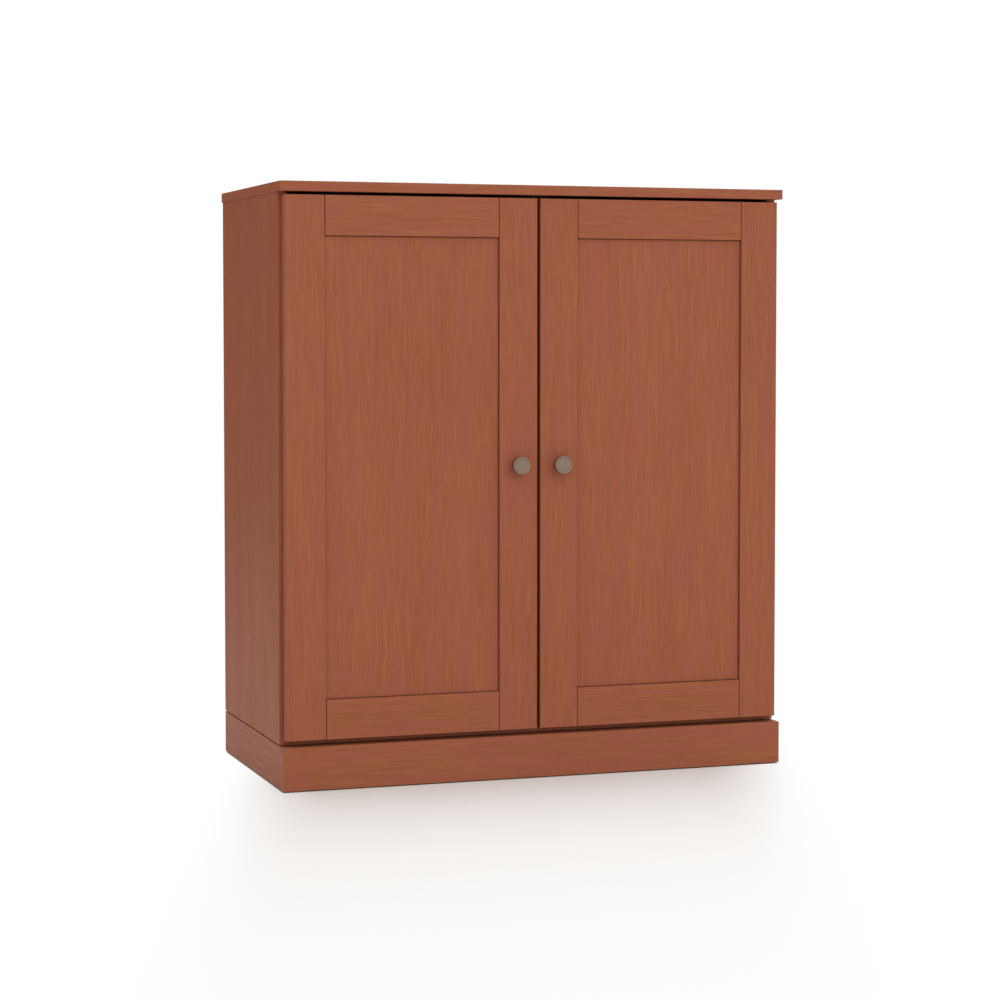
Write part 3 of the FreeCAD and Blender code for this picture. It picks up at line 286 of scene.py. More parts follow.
class CABINET_PG_wood(bpy.types.PropertyGroup):
    """Stain and grain of the boards."""

    pale: colour("Pale grain", "Lightest streaks of the stained boards", (154, 92, 63))
    deep: colour("Deep grain", "Darkest streaks of the stained boards", (140, 80, 53))
    rosy: colour("Rosy grain", "Redder stretches of the stained boards", (148, 82, 64))
    pore: colour("Pores", "Stain gathered in the pores", (84, 36, 22))
    softwood: colour("Softwood", "Rear rail of the base", (196, 160, 112))
    softwood_late: colour("Softwood rings", "Rings of the rear rail and flecks of the dowels", (176, 134, 86))
    hardboard: colour("Hardboard", "Bare rear face of the back panel", (104, 72, 50))
    hardboard_fleck: colour("Hardboard fibres", "Pale fibres in the rear face", (136, 100, 72))
    beech: colour("Beech", "Dowels", (206, 172, 128))
    figure_width: length("Figure width", "Broad bands across the grain", 0.045)
    streak_width: length("Streak width", "Streaks across the grain", 0.005)
    fibre_width: length("Fibre width", "Fine fibres across the grain", 0.0021)
    blotch_width: length("Blotch width", "Patches where the stain took more or less", 0.011)
    pore_width: length("Pore width", "Pores across the grain", 0.0006)
    board_step: length("Step between boards", "How far apart in the log the boards were cut", 1.37)
    roughness: share("Roughness", "Satin lacquer on the boards", 0.54)


class CABINET_PG_metal(bpy.types.PropertyGroup):
    """Colours of the knobs and fittings."""

    pewter: colour("Pewter", "Knobs", (142, 123, 108))
    # Painted shade: darker pewter for the ring where a knob's face meets its rim, standing in for the shade
    # in that crease
    pewter_deep: colour("Pewter tarnish", "Where the face of a knob meets its rim", (122, 106, 93))
    nickel: colour("Nickel plate", "Hinges and strike plates", (201, 198, 190))
    zinc: colour("Zinc plate", "Screws, nails and shelf pins", (186, 188, 190))
    die_cast: colour("Die cast zinc", "Cam locks and their bolts", (168, 168, 166))
    catch: colour("Catch plastic", "Body of the magnetic catch", (34, 24, 19))
    magnet: colour("Magnet", "Magnets of the catch", (26, 25, 24))
    bumper: colour("Bumper", "Soft pads on the doors", (88, 66, 50))


class CABINET_PG_screws(bpy.types.PropertyGroup):
    """Heads of the screws, as shares of the head that the frame gives."""

    rim: share("Rim", "Height of the straight rim in the height of the head", 0.4)
    crown: share("Crown", "Radius of the flat crown in the radius of the head", 0.72)
    cross_reach: share("Cross reach", "Half length of the cross in the radius of the head", 0.56)
    cross_width: share("Cross width", "Half width of the cross in the radius of the head", 0.13)
    cross_depth: share("Cross depth", "Depth of the cross in the height of the head", 0.75)
    cross_taper: share("Cross taper", "Size of the bottom of the cross", 0.6)


class CABINET_PG_studio(bpy.types.PropertyGroup):
    """Floor, lamps and camera."""

    floor: colour("Floor", "Pale studio floor", (226, 221, 213))
    floor_roughness: share("Floor roughness", "Satin of the floor", 0.42)
    floor_radius: length("Floor radius", "Reach of the floor round the cabinet", 14.0)
    floor_drop: length("Floor drop", "Floor below the base, for a dark line of contact", 0.0015)
    fade_turn: angle("Fade turn", "Shaded floor turned to the left", 19)
    fade_middle: length("Fade middle", "Middle of the shaded floor to the right of the cabinet's", 0.03)
    fade_side: length("Fade at the sides", "Half the width of the shaded floor", 0.37)
    fade_soft: length("Soft edge", "Half the width of the edge of the shaded floor", 0.09)
    fade_front: length("Fade in front", "Distance from the cabinet at which the shade falls to a third", 0.58)
    fade_least: share("Fade near by", "White in the floor next to the cabinet", 0.22)
    ambient: FloatProperty(name="Ambient", description="Light from all round", default=0.87, min=0.0)
    key_power: power("Key lamp", "Large soft lamp high in front", 129.0)
    low_power: power("Low lamp", "Long lamp near the floor in front", 4.0)
    fill_power: power("Fill lamp", "Soft lamp behind on the left", 8.5)
    top_power: power("Top lamp", "Soft lamp above and behind", 60.0)
    camera_place: FloatVectorProperty(
        name="Camera",
        description="Where the camera stands",
        default=(-1.2989, -3.816, 0.6918),
        subtype="TRANSLATION",
        unit="LENGTH",
        size=3,
    )
    camera_yaw: angle("Yaw", "Camera turned to the right", 18.799)
    camera_pitch: angle("Pitch", "Camera turned down", 2.787)
    camera_lens: FloatProperty(name="Lens", description="Focal length in millimetres", default=90.69)
    camera_shift: FloatProperty(name="Shift", description="Lens moved down in its frame", default=-0.05)


def plug(tree, socket, value):
    """Links a socket to another node's output, or sets it to a value."""
    if isinstance(value, bpy.types.NodeSocket):
        tree.links.new(value, socket)
    else:
        socket.default_value = value


def add_node(tree, kind, inputs=None, **settings):
    """One node of a tree with its settings and its inputs, each a value or another node's output."""
    node = tree.nodes.new(kind)
    for name, value in settings.items():
        setattr(node, name, value)
    for key, value in (inputs or {}).items():
        plug(tree, node.inputs[key], value)
    return node


def calc(tree, operation, first, second=0.0):
    """One sum on two numbers."""
    node = add_node(tree, "ShaderNodeMath", {0: first, 1: second}, operation=operation)
    return node.outputs["Value"]


def weighted(tree, value, weight):
    """A number times its weight."""
    return calc(tree, "MULTIPLY", value, weight)


def vector_calc(tree, operation, first, second):
    """One sum on two vectors."""
    node = add_node(tree, "ShaderNodeVectorMath", {0: first, 1: second}, operation=operation)
    return node.outputs["Vector"]


def one_axis(tree, vector, axis):
    """The part of a vector along one axis."""
    return add_node(tree, "ShaderNodeSeparateXYZ", {"Vector": vector}).outputs[axis]


def ramp(tree, value, low, high, to_low=0.0, to_high=1.0):
    """A number carried smoothly from one range to another."""
    inputs = {"Value": value, "From Min": low, "From Max": high, "To Min": to_low, "To Max": to_high}
    node = add_node(tree, "ShaderNodeMapRange", inputs, interpolation_type="SMOOTHSTEP")
    return node.outputs["Result"]


def mixed(tree, factor, first, second):
    """Two colours mixed, each a plain colour or another node's output."""
    tones = [tone if isinstance(tone, bpy.types.NodeSocket) else (*tone, 1.0) for tone in (first, second)]
    inputs = dict(zip(MIX_INPUTS, (factor, *tones)))
    return add_node(tree, "ShaderNodeMix", inputs, data_type="RGBA").outputs[MIX_RESULT]


def own_place(tree):
    """Coordinates that are fixed to the piece."""
    return add_node(tree, "ShaderNodeTexCoord").outputs["Object"]


def mapped(tree, vector, **steps):
    """Coordinates moved, turned or scaled; the steps are Location, Rotation and Scale."""
    return add_node(tree, "ShaderNodeMapping", {"Vector": vector, **steps}).outputs["Vector"]


def noise(tree, vector, size, detail=2.0, roughness=0.5, output="Fac"):
    """Noise whose grains have that size along x, y and z."""
    drawn = mapped(tree, vector, Scale=tuple(1 / span for span in size))
    inputs = {"Vector": drawn, "Scale": 1.0, "Detail": detail, "Roughness": roughness}
    return add_node(tree, "ShaderNodeTexNoise", inputs).outputs[output]


def bumped(tree, height, distance):
    """The surface's normal with small relief."""
    inputs = {"Height": height, "Distance": distance, "Strength": 1.0}
    return add_node(tree, "ShaderNodeBump", inputs).outputs["Normal"]


def new_material(name):
    """An empty material with one surface shader."""
    material = bpy.data.materials.new(name)
    material.use_nodes = True
    tree = material.node_tree
    tree.nodes.clear()
    output = add_node(tree, "ShaderNodeOutputMaterial")
    shader = add_node(tree, "ShaderNodeBsdfPrincipled")
    tree.links.new(shader.outputs["BSDF"], output.inputs["Surface"])
    return material, tree, shader


def feed(tree, shader, **inputs):
    """Sets the shader's inputs; an underscore in a name stands for a space."""
    for name, value in inputs.items():
        plug(tree, shader.inputs[name.replace("_", " ")], value)


def board_coordinates(tree, grain, start):
    """Coordinates on a board with z along its swaying grain, begun at its own place in the log."""
    turned = mapped(tree, own_place(tree), Rotation=GRAIN_TURNS[grain], Location=(start, -start, start))
    sway = noise(tree, turned, PATTERNS["sway"], detail=1.0, output="Color")
    centred = vector_calc(tree, "SUBTRACT", sway, NOISE_MIDDLE)
    return vector_calc(tree, "ADD", turned, vector_calc(tree, "MULTIPLY", centred, SWAY_REACH))


def stained_grain(tree, vector, wood):
    """Colour, relief and roughness of fine straight grain under a cherry stain."""

    def layer(width, stretch, detail=2.0):
        return noise(tree, vector, (width, width, width * stretch), detail)

    layers = {}
    total = 0.0
    for name, (stretch, weight) in TONE_LAYERS.items():
        layers[name] = layer(getattr(wood, f"{name}_width"), stretch)
        total = calc(tree, "ADD", total, weighted(tree, layers[name], weight))
    tone = ramp(tree, total, low=0.85, high=1.65)
    hue = ramp(tree, layer(wood.blotch_width, HUE_STRETCH), low=0.4, high=0.62)
    pores = ramp(tree, layer(wood.pore_width, PORE_STRETCH, detail=1.0), low=0.6, high=0.78)
    base = mixed(tree, tone, wood.deep, wood.pale)
    base = mixed(tree, weighted(tree, hue, weight=0.7), base, wood.rosy)
    base = mixed(tree, weighted(tree, pores, weight=0.22), base, wood.pore)
    relief = calc(tree, "SUBTRACT", weighted(tree, layers["fibre"], weight=0.5), pores)
    dull, glossy = wood.roughness + 0.06, wood.roughness - 0.04
    rough = ramp(tree, tone, low=0.0, high=1.0, to_low=dull, to_high=glossy)
    return base, relief, rough


def stained_board(name, grain, start, wood):
    """Satin cherry stain on one board."""
    material, tree, shader = new_material(name)
    base, relief, rough = stained_grain(tree, board_coordinates(tree, grain, start), wood)
    feed(tree, shader, Base_Color=base, Roughness=rough, Specular_IOR_Level=SHINE["lacquer"])
    feed(tree, shader, Normal=bumped(tree, relief, RELIEF["lacquer"]))
    return material


def softwood_board(name, grain, wood):
    """Plain sawn softwood of the rear rail."""
    material, tree, shader = new_material(name)
    vector = board_coordinates(tree, grain, 0.0)
    rings = noise(tree, vector, PATTERNS["rings"])
    fur = noise(tree, vector, PATTERNS["sawn_fur"])
    base = mixed(tree, ramp(tree, rings, low=0.36, high=0.7), wood.softwood, wood.softwood_late)
    base = mixed(tree, ramp(tree, fur, low=0.55, high=0.75, to_high=0.3), base, wood.softwood_late)
    rough = ramp(tree, fur, low=0.3, high=0.7, to_low=0.7, to_high=0.85)
    feed(tree, shader, Base_Color=base, Roughness=rough, Specular_IOR_Level=SHINE["sawn"])
    feed(tree, shader, Normal=bumped(tree, fur, RELIEF["sawn"]))
    return material


def back_board(name, start, wood):
    """Thin hardboard, stained paper inside and bare brown fibre behind."""
    material, tree, shader = new_material(name)
    facing = add_node(tree, "ShaderNodeTexCoord").outputs["Normal"]
    behind = calc(tree, "GREATER_THAN", one_axis(tree, facing, "Y"), REAR_FACING)
    base, _, rough = stained_grain(tree, board_coordinates(tree, "Z", start), wood)
    place = own_place(tree)
    fibre = noise(tree, place, PATTERNS["hardboard_fibre"], detail=6.0, roughness=0.7)
    fleck = noise(tree, place, PATTERNS["hardboard_fleck"])
    bare = mixed(tree, ramp(tree, fibre, low=0.3, high=0.7), wood.hardboard, wood.hardboard_fleck)
    bare = mixed(tree, ramp(tree, fleck, low=0.6, high=0.75, to_high=0.5), bare, wood.hardboard_fleck)
    height = calc(tree, "MULTIPLY", calc(tree, "ADD", fibre, fleck), behind)
    rough = calc(tree, "ADD", rough, weighted(tree, behind, weight=0.3))
    feed(tree, shader, Base_Color=mixed(tree, behind, base, bare), Roughness=rough)
    feed(tree, shader, Normal=bumped(tree, height, RELIEF["hardboard"]))
    feed(tree, shader, Specular_IOR_Level=SHINE["hardboard"])
    return material


def dowel_wood(name, wood):
    """Plain beech with short flecks."""
    material, tree, shader = new_material(name)
    fleck = noise(tree, own_place(tree), PATTERNS["beech_fleck"])
    base = mixed(tree, ramp(tree, fleck, low=0.45, high=0.7), wood.beech, wood.softwood_late)
    rough = ramp(tree, fleck, low=0.3, high=0.7, to_low=0.6, to_high=0.75)
    feed(tree, shader, Base_Color=base, Roughness=rough, Normal=bumped(tree, fleck, RELIEF["beech"]))
    return material


def pewter_knob(name, node, metal):
    """Satin pewter with turning marks round the axis and painted shade in a ring inside the rim."""
    material, tree, shader = new_material(name)
    low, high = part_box(node)
    middle = (low + high) / 2
    radius = (high.x - low.x) / 2
    centred = mapped(tree, own_place(tree), Location=tuple(-middle))
    flat = vector_calc(tree, "MULTIPLY", centred, (1.0, 0.0, 1.0))
    out = add_node(tree, "ShaderNodeVectorMath", {0: flat}, operation="LENGTH").outputs["Value"]
    inputs = {"W": out, "Scale": TURNING_MARKS, "Detail": 2.0}
    marks = add_node(tree, "ShaderNodeTexNoise", inputs, noise_dimensions="1D").outputs["Fac"]
    cloud = noise(tree, centred, PATTERNS["pewter_cloud"], detail=4.0)
    # Painted shade: a darker ring where the face meets the rim, where shade falls in the crease
    inner = ramp(tree, out, radius * RING_START, radius * RING_FULL)
    outer = ramp(tree, out, radius * RING_FADE, radius * RING_END, to_low=1.0, to_high=0.0)
    ring = weighted(tree, calc(tree, "MULTIPLY", inner, outer), weight=0.12)
    # dull carries both the painted shade of the crease and the random cloudy spots
    dull = calc(tree, "ADD", ring, ramp(tree, cloud, low=0.4, high=0.75, to_high=0.2))
    rough = ramp(tree, calc(tree, "ADD", marks, cloud), low=0.7, high=1.3, to_low=0.3, to_high=0.38)
    feed(tree, shader, Base_Color=mixed(tree, dull, metal.pewter, metal.pewter_deep), Metallic=1.0)
    feed(tree, shader, Roughness=rough, Normal=bumped(tree, marks, RELIEF["turning"]))
    return material


def plated_metal(name, metal):
    """Thin plating with faint rolling marks and cloudy spots."""
    material, tree, shader = new_material(name)
    setting, smooth, spot = PLATINGS[name]
    tone = getattr(metal, setting)
    place = own_place(tree)
    spots = noise(tree, place, (spot, spot, spot), detail=4.0)
    marks = noise(tree, place, PATTERNS["rolling_marks"])
    dark = tuple(value * SPOT_TONE for value in tone)
    base = mixed(tree, ramp(tree, spots, low=0.35, high=0.7), tone, dark)
    wear = calc(tree, "ADD", spots, marks)
    rough = ramp(tree, wear, low=0.7, high=1.3, to_low=smooth - 0.06, to_high=smooth + 0.1)
    feed(tree, shader, Base_Color=base, Metallic=1.0, Roughness=rough)
    feed(tree, shader, Normal=bumped(tree, marks, RELIEF["rolling"]))
    return material


def moulded(name, metal):
    """Moulded plastic, ceramic or rubber with a fine even texture."""
    material, tree, shader = new_material(name)
    setting, middle, grain, relief = MOULDINGS[name]
    tone = getattr(metal, setting)
    skin = noise(tree, own_place(tree), (grain, grain, grain), detail=3.0)
    pale = tuple(min(1.0, value * TEXTURE_TONE) for value in tone)
    base = mixed(tree, ramp(tree, skin, low=0.35, high=0.7), tone, pale)
    rough = ramp(tree, skin, low=0.3, high=0.7, to_low=middle - 0.08, to_high=middle + 0.08)
    feed(tree, shader, Base_Color=base, Roughness=rough, Specular_IOR_Level=SHINE["moulded"])
    feed(tree, shader, Normal=bumped(tree, skin, relief))
    return material


def dress(node, material):
    """Gives a node of the frame its finish."""
    frame["nodes"][node].material_slots[0].material = material


class CABINET_OT_show_boards(bpy.types.Operator):
    """Stain the boards that show from outside, each with its own stretch of grain"""

    bl_idname = "cabinet.show_boards"
    bl_label = "Stain the outside"

    def execute(self, context):
        wood = context.scene.cabinet_wood
        for index, (node, grain) in enumerate(SHOW_BOARDS.items()):
            dress(node, stained_board(f"cherry_{node}", grain, index * wood.board_step, wood))
        return {"FINISHED"}


class CABINET_OT_inside_boards(bpy.types.Operator):
    """Stain the bottom and the shelves, and finish the back panel"""

    bl_idname = "cabinet.inside_boards"
    bl_label = "Stain the inside"

    def execute(self, context):
        wood = context.scene.cabinet_wood
        for index, (node, grain) in enumerate(INSIDE_BOARDS.items(), start=len(SHOW_BOARDS)):
            dress(node, stained_board(f"cherry_{node}", grain, index * wood.board_step, wood))
        dress("back_panel", back_board("hardboard_back", -wood.board_step, wood))
        return {"FINISHED"}


class CABINET_OT_hidden_wood(bpy.types.Operator):
    """Finish the rear rail of the base and the dowels"""

    bl_idname = "cabinet.hidden_wood"
    bl_label = "Finish the hidden wood"

    def execute(self, context):
        wood = context.scene.cabinet_wood
        dress("rear_plinth_rail", softwood_board("softwood_rear_plinth_rail", "X", wood))
        dress("dowels", dowel_wood("beech_dowels", wood))
        return {"FINISHED"}


class CABINET_OT_knobs(bpy.types.Operator):
    """Give the knobs their satin pewter"""

    bl_idname = "cabinet.knobs"
    bl_label = "Finish the knobs"

    def execute(self, context):
        for hand in HANDS:
            node = f"{hand}_door_knob"
            dress(node, pewter_knob(f"pewter_{hand}", node, context.scene.cabinet_metal))
        return {"FINISHED"}


class CABINET_OT_fittings(bpy.types.Operator):
    """Finish the hinges, catch, pins, nails, cams and pads"""

    bl_idname = "cabinet.fittings"
    bl_label = "Finish the fittings"

    def execute(self, context):
        metal = context.scene.cabinet_metal
        for name, nodes in FITTING_NODES.items():
            material = plated_metal(name, metal) if name in PLATINGS else moulded(name, metal)
            for node in nodes:
                dress(node, material)
        return {"FINISHED"}


def solids_of(node):
    """The vertices of each separate solid in a node."""
    copy = bmesh.new()
    copy.from_mesh(frame["nodes"][node].data)
    bmesh.ops.remove_doubles(copy, verts=copy.verts, dist=SAME_POINT)
    waiting = set(copy.verts)
    found = []
    for first in copy.verts:
        if first not in waiting:
            continue
        waiting.remove(first)
        reached = [first]
        for vertex in reached:
            for edge in vertex.link_edges:
                other = edge.other_vert(vertex)
                if other in waiting:
                    waiting.remove(other)
                    reached.append(other)
        found.append([vertex.co.copy() for vertex in reached])
    copy.free()
    return found


class Screw:
    """Where a screw of the frame sits and how large its head and shank are."""

    def __init__(self, points):
        low = Vector(min(p[i] for p in points) for i in range(3))
        high = Vector(max(p[i] for p in points) for i in range(3))
        spans = high - low
        along = max(range(3), key=lambda i: spans[i])
        across = [i for i in range(3) if i != along]
        middle = (low + high) / 2
        outs = [math.hypot(*(p[i] - middle[i] for i in across)) for p in points]
        self.length = spans[along]
        self.head_radius = max(outs)
        rim = [p[along] for p, out in zip(points, outs) if out > self.head_radius * HEAD_RIM]
        self.head_height = max(rim) - min(rim)
        head_is_low = sum(rim) / len(rim) < middle[along]
        tip = high[along] if head_is_low else low[along]
        near_tip = [out for p, out in zip(points, outs) if abs(p[along] - tip) < self.length * TIP_REACH]
        self.shank_radius = max(near_tip)
        self.axis = Vector((0.0, 0.0, 0.0))
        self.axis[along] = -1.0 if head_is_low else 1.0
        self.top = middle.copy()
        self.top[along] = low[along] if head_is_low else high[along]


def cross_points(reach, half):
    """The twelve corners of a flat cross, in order."""
    arm = [(reach, -half), (reach, half), (half, half)]
    turns = [Matrix.Rotation(QUARTER * quarter, 3, "Z") for quarter in range(4)]
    return [turn @ Vector((x, y, 0.0)) for turn in turns for x, y in arm]


def screw_outline(screw, shape):
    """Half the outline of a pan head screw, from its tip to the edge of its crown, with the crown at z 0."""
    radius = screw.head_radius
    crown = radius * shape.crown
    rim = screw.head_height * (shape.rim - 1)
    tip = -screw.length
    return [
        (0.0, tip),
        (screw.shank_radius * BLUNT_TIP, tip),
        (screw.shank_radius, tip + screw.shank_radius),
        (screw.shank_radius, -screw.head_height),
        (radius, -screw.head_height),
        (radius, rim),
        ((radius * 2 + crown) / 3, rim * SHOULDER_DROP),
        (crown, 0.0),
    ]


def screw_mesh(screw, shape, turn):
    """A pan head screw with a tapered cross recess, turned about its axis."""
    bm = bmesh.new()
    made = [bm.verts.new((x, 0.0, z)) for x, z in screw_outline(screw, shape)]
    edges = [bm.edges.new(pair) for pair in zip(made, made[1:])]
    bmesh.ops.spin(
        bm,
        geom=made + edges,
        axis=(0, 0, 1),
        cent=(0, 0, 0),
        angle=math.tau,
        steps=SCREW_SIDES,
        use_merge=True,
    )
    bmesh.ops.remove_doubles(bm, verts=bm.verts, dist=SAME_POINT)
    crown = [edge for edge in bm.edges if edge.is_boundary]
    corners = cross_points(screw.head_radius * shape.cross_reach, screw.head_radius * shape.cross_width)
    cross = [bm.verts.new(corner) for corner in corners]
    cross_edges = [bm.edges.new(pair) for pair in zip(cross, cross[1:] + cross[:1])]
    bmesh.ops.triangle_fill(bm, use_beauty=True, edges=crown + cross_edges, normal=(0, 0, 1))
    deep = bmesh.ops.extrude_edge_only(bm, edges=cross_edges)["geom"]
    floor = [part for part in deep if isinstance(part, bmesh.types.BMVert)]
    taper = Matrix.Diagonal((shape.cross_taper, shape.cross_taper, 1.0, 1.0))
    bmesh.ops.transform(bm, matrix=taper, verts=floor)
    bmesh.ops.translate(bm, vec=(0, 0, -screw.head_height * shape.cross_depth), verts=floor)
    bottom = [edge for edge in bm.edges if edge.is_boundary]
    bmesh.ops.triangle_fill(bm, use_beauty=True, edges=bottom, normal=(0, 0, 1))
    bmesh.ops.recalc_face_normals(bm, faces=bm.faces)
    stand = screw.axis.to_track_quat("Z", "Y").to_matrix().to_4x4() @ Matrix.Rotation(turn, 4, "Z")
    bmesh.ops.transform(bm, matrix=Matrix.Translation(screw.top) @ stand, verts=bm.verts)
    mesh = bpy.data.meshes.new("screw")
    bm.to_mesh(mesh)
    bm.free()
    return mesh


def new_object(name, bm, material):
    """A mesh object of the scene with one material."""
    mesh = bpy.data.meshes.new(name)
    bm.to_mesh(mesh)
    bm.free()
    mesh.materials.append(material)
    made = bpy.data.objects.new(name, mesh)
    bpy.context.scene.collection.objects.link(made)
    return made


class CABINET_OT_screws(bpy.types.Operator):
    """Put cross head screws where the frame has its plain ones"""

    bl_idname = "cabinet.screws"
    bl_label = "Drive the screws"

    def execute(self, context):
        scene = context.scene
        zinc = bpy.data.materials.get("zinc_plate") or plated_metal("zinc_plate", scene.cabinet_metal)
        turn = 0.0
        for node in SCREW_NODES:
            bm = bmesh.new()
            for points in solids_of(node):
                turn += SCREW_TURN
                mesh = screw_mesh(Screw(points), scene.cabinet_screws, turn)
                bm.from_mesh(mesh)
                bpy.data.meshes.remove(mesh)
            piece = new_object(f"{node}_cross_head", bm, zinc)
            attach(piece, frame["nodes"][node]["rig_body"])
            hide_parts(node)
        return {"FINISHED"}


def seen_rays(tree):
    """One where a ray comes from the camera, a reflection or glass, and none elsewhere."""
    path = add_node(tree, "ShaderNodeLightPath")
    seen = calc(tree, "MAXIMUM", path.outputs["Is Camera Ray"], path.outputs["Is Glossy Ray"])
    return calc(tree, "MAXIMUM", seen, path.outputs["Is Transmission Ray"])


def outside_base(tree, place):
    """None on the floor under the base, and one elsewhere."""
    low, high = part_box("front_plinth_board")
    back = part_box("left_plinth_board")[1].y
    middle = Vector(((low.x + high.x) / 2, (low.y + back) / 2, 0.0))
    half = Vector(((high.x - low.x) / 2, (back - low.y) / 2, 1.0))
    scale = tuple(1 / h for h in half)
    spread = mapped(tree, place, Scale=scale, Location=tuple(-m * s for m, s in zip(middle, scale)))
    far = [calc(tree, "ABSOLUTE", one_axis(tree, spread, axis)) for axis in "XY"]
    return calc(tree, "GREATER_THAN", calc(tree, "MAXIMUM", *far), 1.0)


def floor_shade(tree, place, studio):
    """One on the floor next to the cabinet, falling to none away from it and beside it."""
    turn, middle = (0.0, 0.0, studio.fade_turn), (-studio.fade_middle, 0.0, 0.0)
    aside = calc(tree, "ABSOLUTE", one_axis(tree, mapped(tree, place, Rotation=turn, Location=middle), "X"))
    inner, outer = studio.fade_side - studio.fade_soft, studio.fade_side + studio.fade_soft
    across = ramp(tree, aside, inner, outer, to_low=1.0, to_high=0.0)
    ahead = calc(tree, "ABSOLUTE", one_axis(tree, place, "Y"))
    away = calc(tree, "MAXIMUM", calc(tree, "SUBTRACT", ahead, CAD_BOX[1].y), 0.0)
    fall = calc(tree, "EXPONENT", calc(tree, "DIVIDE", away, -studio.fade_front))
    return calc(tree, "MULTIPLY", across, fall)


def floor_material(studio):
    """Pale satin floor that turns white away from the cabinet."""
    material, tree, shader = new_material("pale_floor")
    place = own_place(tree)
    cloud = noise(tree, place, PATTERNS["floor_cloud"])
    dim = tuple(value * FLOOR_CLOUD_TONE for value in studio.floor)
    base = mixed(tree, ramp(tree, cloud, low=0.3, high=0.7), studio.floor, dim)
    feed(tree, shader, Base_Color=base, Roughness=studio.floor_roughness, Specular_IOR_Level=SHINE["floor"])
    shade = weighted(tree, floor_shade(tree, place, studio), 1.0 - studio.fade_least)
    white = calc(tree, "MULTIPLY", calc(tree, "SUBTRACT", 1.0, shade), outside_base(tree, place))
    white = calc(tree, "MULTIPLY", white, seen_rays(tree))
    glow = add_node(tree, "ShaderNodeEmission", {"Color": WHITE, "Strength": 1.0})
    inputs = {0: white, 1: shader.outputs["BSDF"], 2: glow.outputs["Emission"]}
    shown = add_node(tree, "ShaderNodeMixShader", inputs)
    output = next(node for node in tree.nodes if node.bl_idname == "ShaderNodeOutputMaterial")
    tree.links.new(shown.outputs["Shader"], output.inputs["Surface"])
    return material


def add_floor(studio):
    """The floor that the cabinet stands on."""
    bm = bmesh.new()
    bmesh.ops.create_circle(bm, cap_ends=True, segments=FLOOR_SIDES, radius=studio.floor_radius)
    bmesh.ops.translate(bm, vec=(0, 0, -studio.floor_drop), verts=bm.verts)
    floor = new_object("studio_floor", bm, floor_material(studio))


def add_card():
    """A dark card that stands on the floor out of sight and keeps its side of the studio dim."""
    material, tree, shader = new_material("black_felt")
    nap = noise(tree, own_place(tree), PATTERNS["felt_nap"], detail=3.0)
    feed(tree, shader, Base_Color=mixed(tree, nap, *FELT_TONES), Roughness=FELT_ROUGHNESS)
    bm = bmesh.new()
    bmesh.ops.create_grid(bm, x_segments=1, y_segments=1, size=0.5)
    bmesh.ops.scale(bm, vec=(CARD_WIDTH, CARD_HEIGHT, 1.0), verts=bm.verts)
    stand = Matrix.Rotation(CARD_TURN, 4, "Z") @ Matrix.Rotation(QUARTER, 4, "X")
    middle = Matrix.Translation((*CARD_PLACE, CARD_HEIGHT / 2))
    bmesh.ops.transform(bm, matrix=middle @ stand, verts=bm.verts)
    card = new_object("dark_card", bm, material)
    card.visible_camera = False


def add_lamp(scene, name, watts, size, place):
    """A soft lamp of that width and height, aimed at the cabinet and kept out of sight."""
    data = bpy.data.lights.new(name, "AREA")
    data.energy = watts
    data.shape = "RECTANGLE"
    data.size, data.size_y = size
    lamp = bpy.data.objects.new(name, data)
    lamp.location = place
    lamp.rotation_euler = (Vector(LAMP_TARGET) - Vector(place)).to_track_quat("-Z", "Y").to_euler()
    lamp.visible_glossy = False
    lamp.visible_camera = False
    scene.collection.objects.link(lamp)


def light_world(scene, ambient):
    """Even light from all round, white where it is seen."""
    world = bpy.data.worlds.new("studio_world")
    world.use_nodes = True
    tree = world.node_tree
    tree.nodes.clear()
    dim = add_node(tree, "ShaderNodeBackground", {"Color": WHITE, "Strength": ambient})
    white = add_node(tree, "ShaderNodeBackground", {"Color": WHITE, "Strength": 1.0})
    inputs = {0: seen_rays(tree), 1: dim.outputs["Background"], 2: white.outputs["Background"]}
    shown = add_node(tree, "ShaderNodeMixShader", inputs)
    add_node(tree, "ShaderNodeOutputWorld", {"Surface": shown.outputs["Shader"]})
    scene.world = world


def add_camera(scene, studio):
    """The camera at the photograph's viewing angle."""
    data = bpy.data.cameras.new("studio_camera")
    data.lens = studio.camera_lens
    data.sensor_width = SENSOR_WIDTH
    data.shift_y = studio.camera_shift
    camera = bpy.data.objects.new("studio_camera", data)
    camera.location = studio.camera_place
    camera.rotation_euler = (QUARTER - studio.camera_pitch, 0.0, -studio.camera_yaw)
    scene.collection.objects.link(camera)
    scene.camera = camera


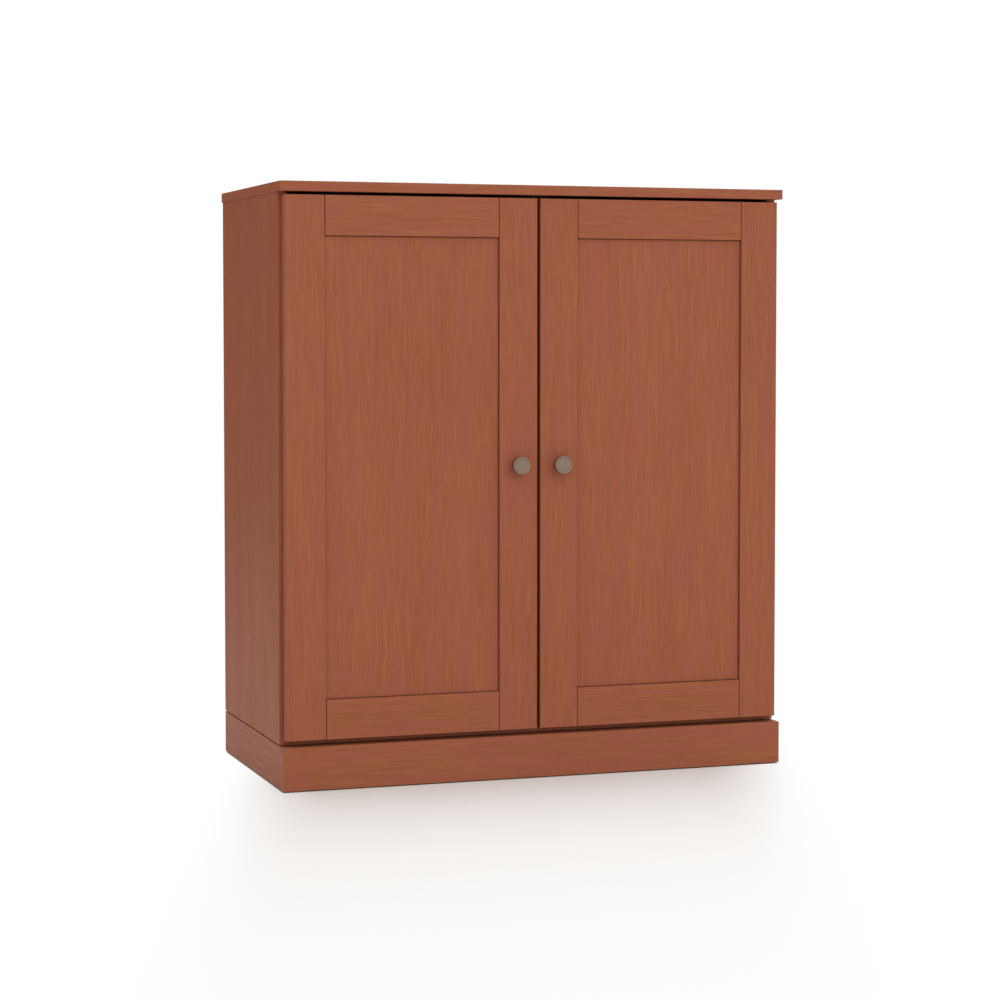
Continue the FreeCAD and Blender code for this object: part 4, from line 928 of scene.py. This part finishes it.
class CABINET_OT_studio(bpy.types.Operator):
    """Set up the floor, the lamps and the camera"""

    bl_idname = "cabinet.studio"
    bl_label = "Set up the studio"

    def execute(self, context):
        scene = context.scene
        studio = scene.cabinet_studio
        scene.view_settings.view_transform = "Standard"
        add_floor(studio)
        add_card()
        for name, (setting, size, place) in LAMPS.items():
            add_lamp(scene, name, getattr(studio, setting), size, place)
        light_world(scene, studio.ambient)
        add_camera(scene, studio)
        return {"FINISHED"}


class CABINET_PT_panel(bpy.types.Panel):
    """The cabinet's settings and steps"""

    bl_idname = "CABINET_PT_panel"
    bl_label = "Linen cabinet"
    bl_space_type = "VIEW_3D"
    bl_region_type = "UI"
    bl_category = "Cabinet"

    def draw(self, context):
        layout = self.layout
        for step in STEPS:
            layout.operator(step.bl_idname)
        for group in SETTINGS:
            box = layout.box()
            settings = getattr(context.scene, group)
            for name in settings.bl_rna.properties.keys():
                if name not in ("rna_type", "name"):
                    box.prop(settings, name)


SETTINGS = {
    "cabinet_wood": CABINET_PG_wood,
    "cabinet_metal": CABINET_PG_metal,
    "cabinet_screws": CABINET_PG_screws,
    "cabinet_studio": CABINET_PG_studio,
}
STEPS = (
    CABINET_OT_show_boards,
    CABINET_OT_inside_boards,
    CABINET_OT_hidden_wood,
    CABINET_OT_knobs,
    CABINET_OT_fittings,
    CABINET_OT_screws,
    CABINET_OT_studio,
)
CLASSES = (*SETTINGS.values(), *STEPS, CABINET_PT_panel)


def register():
    """Adds the settings, the steps and the panel to Blender."""
    for item in CLASSES:
        bpy.utils.register_class(item)
    for name, group in SETTINGS.items():
        setattr(bpy.types.Scene, name, PointerProperty(type=group))


def unregister():
    """Takes the settings, the steps and the panel out of Blender."""
    for name in SETTINGS:
        delattr(bpy.types.Scene, name)
    for item in reversed(CLASSES):
        bpy.utils.unregister_class(item)


def main():
    register()
    bpy.ops.cabinet.show_boards()
    bpy.ops.cabinet.inside_boards()
    bpy.ops.cabinet.hidden_wood()
    bpy.ops.cabinet.knobs()
    bpy.ops.cabinet.fittings()
    bpy.ops.cabinet.screws()
    bpy.ops.cabinet.studio()


if __name__ == "__main__":
    main()
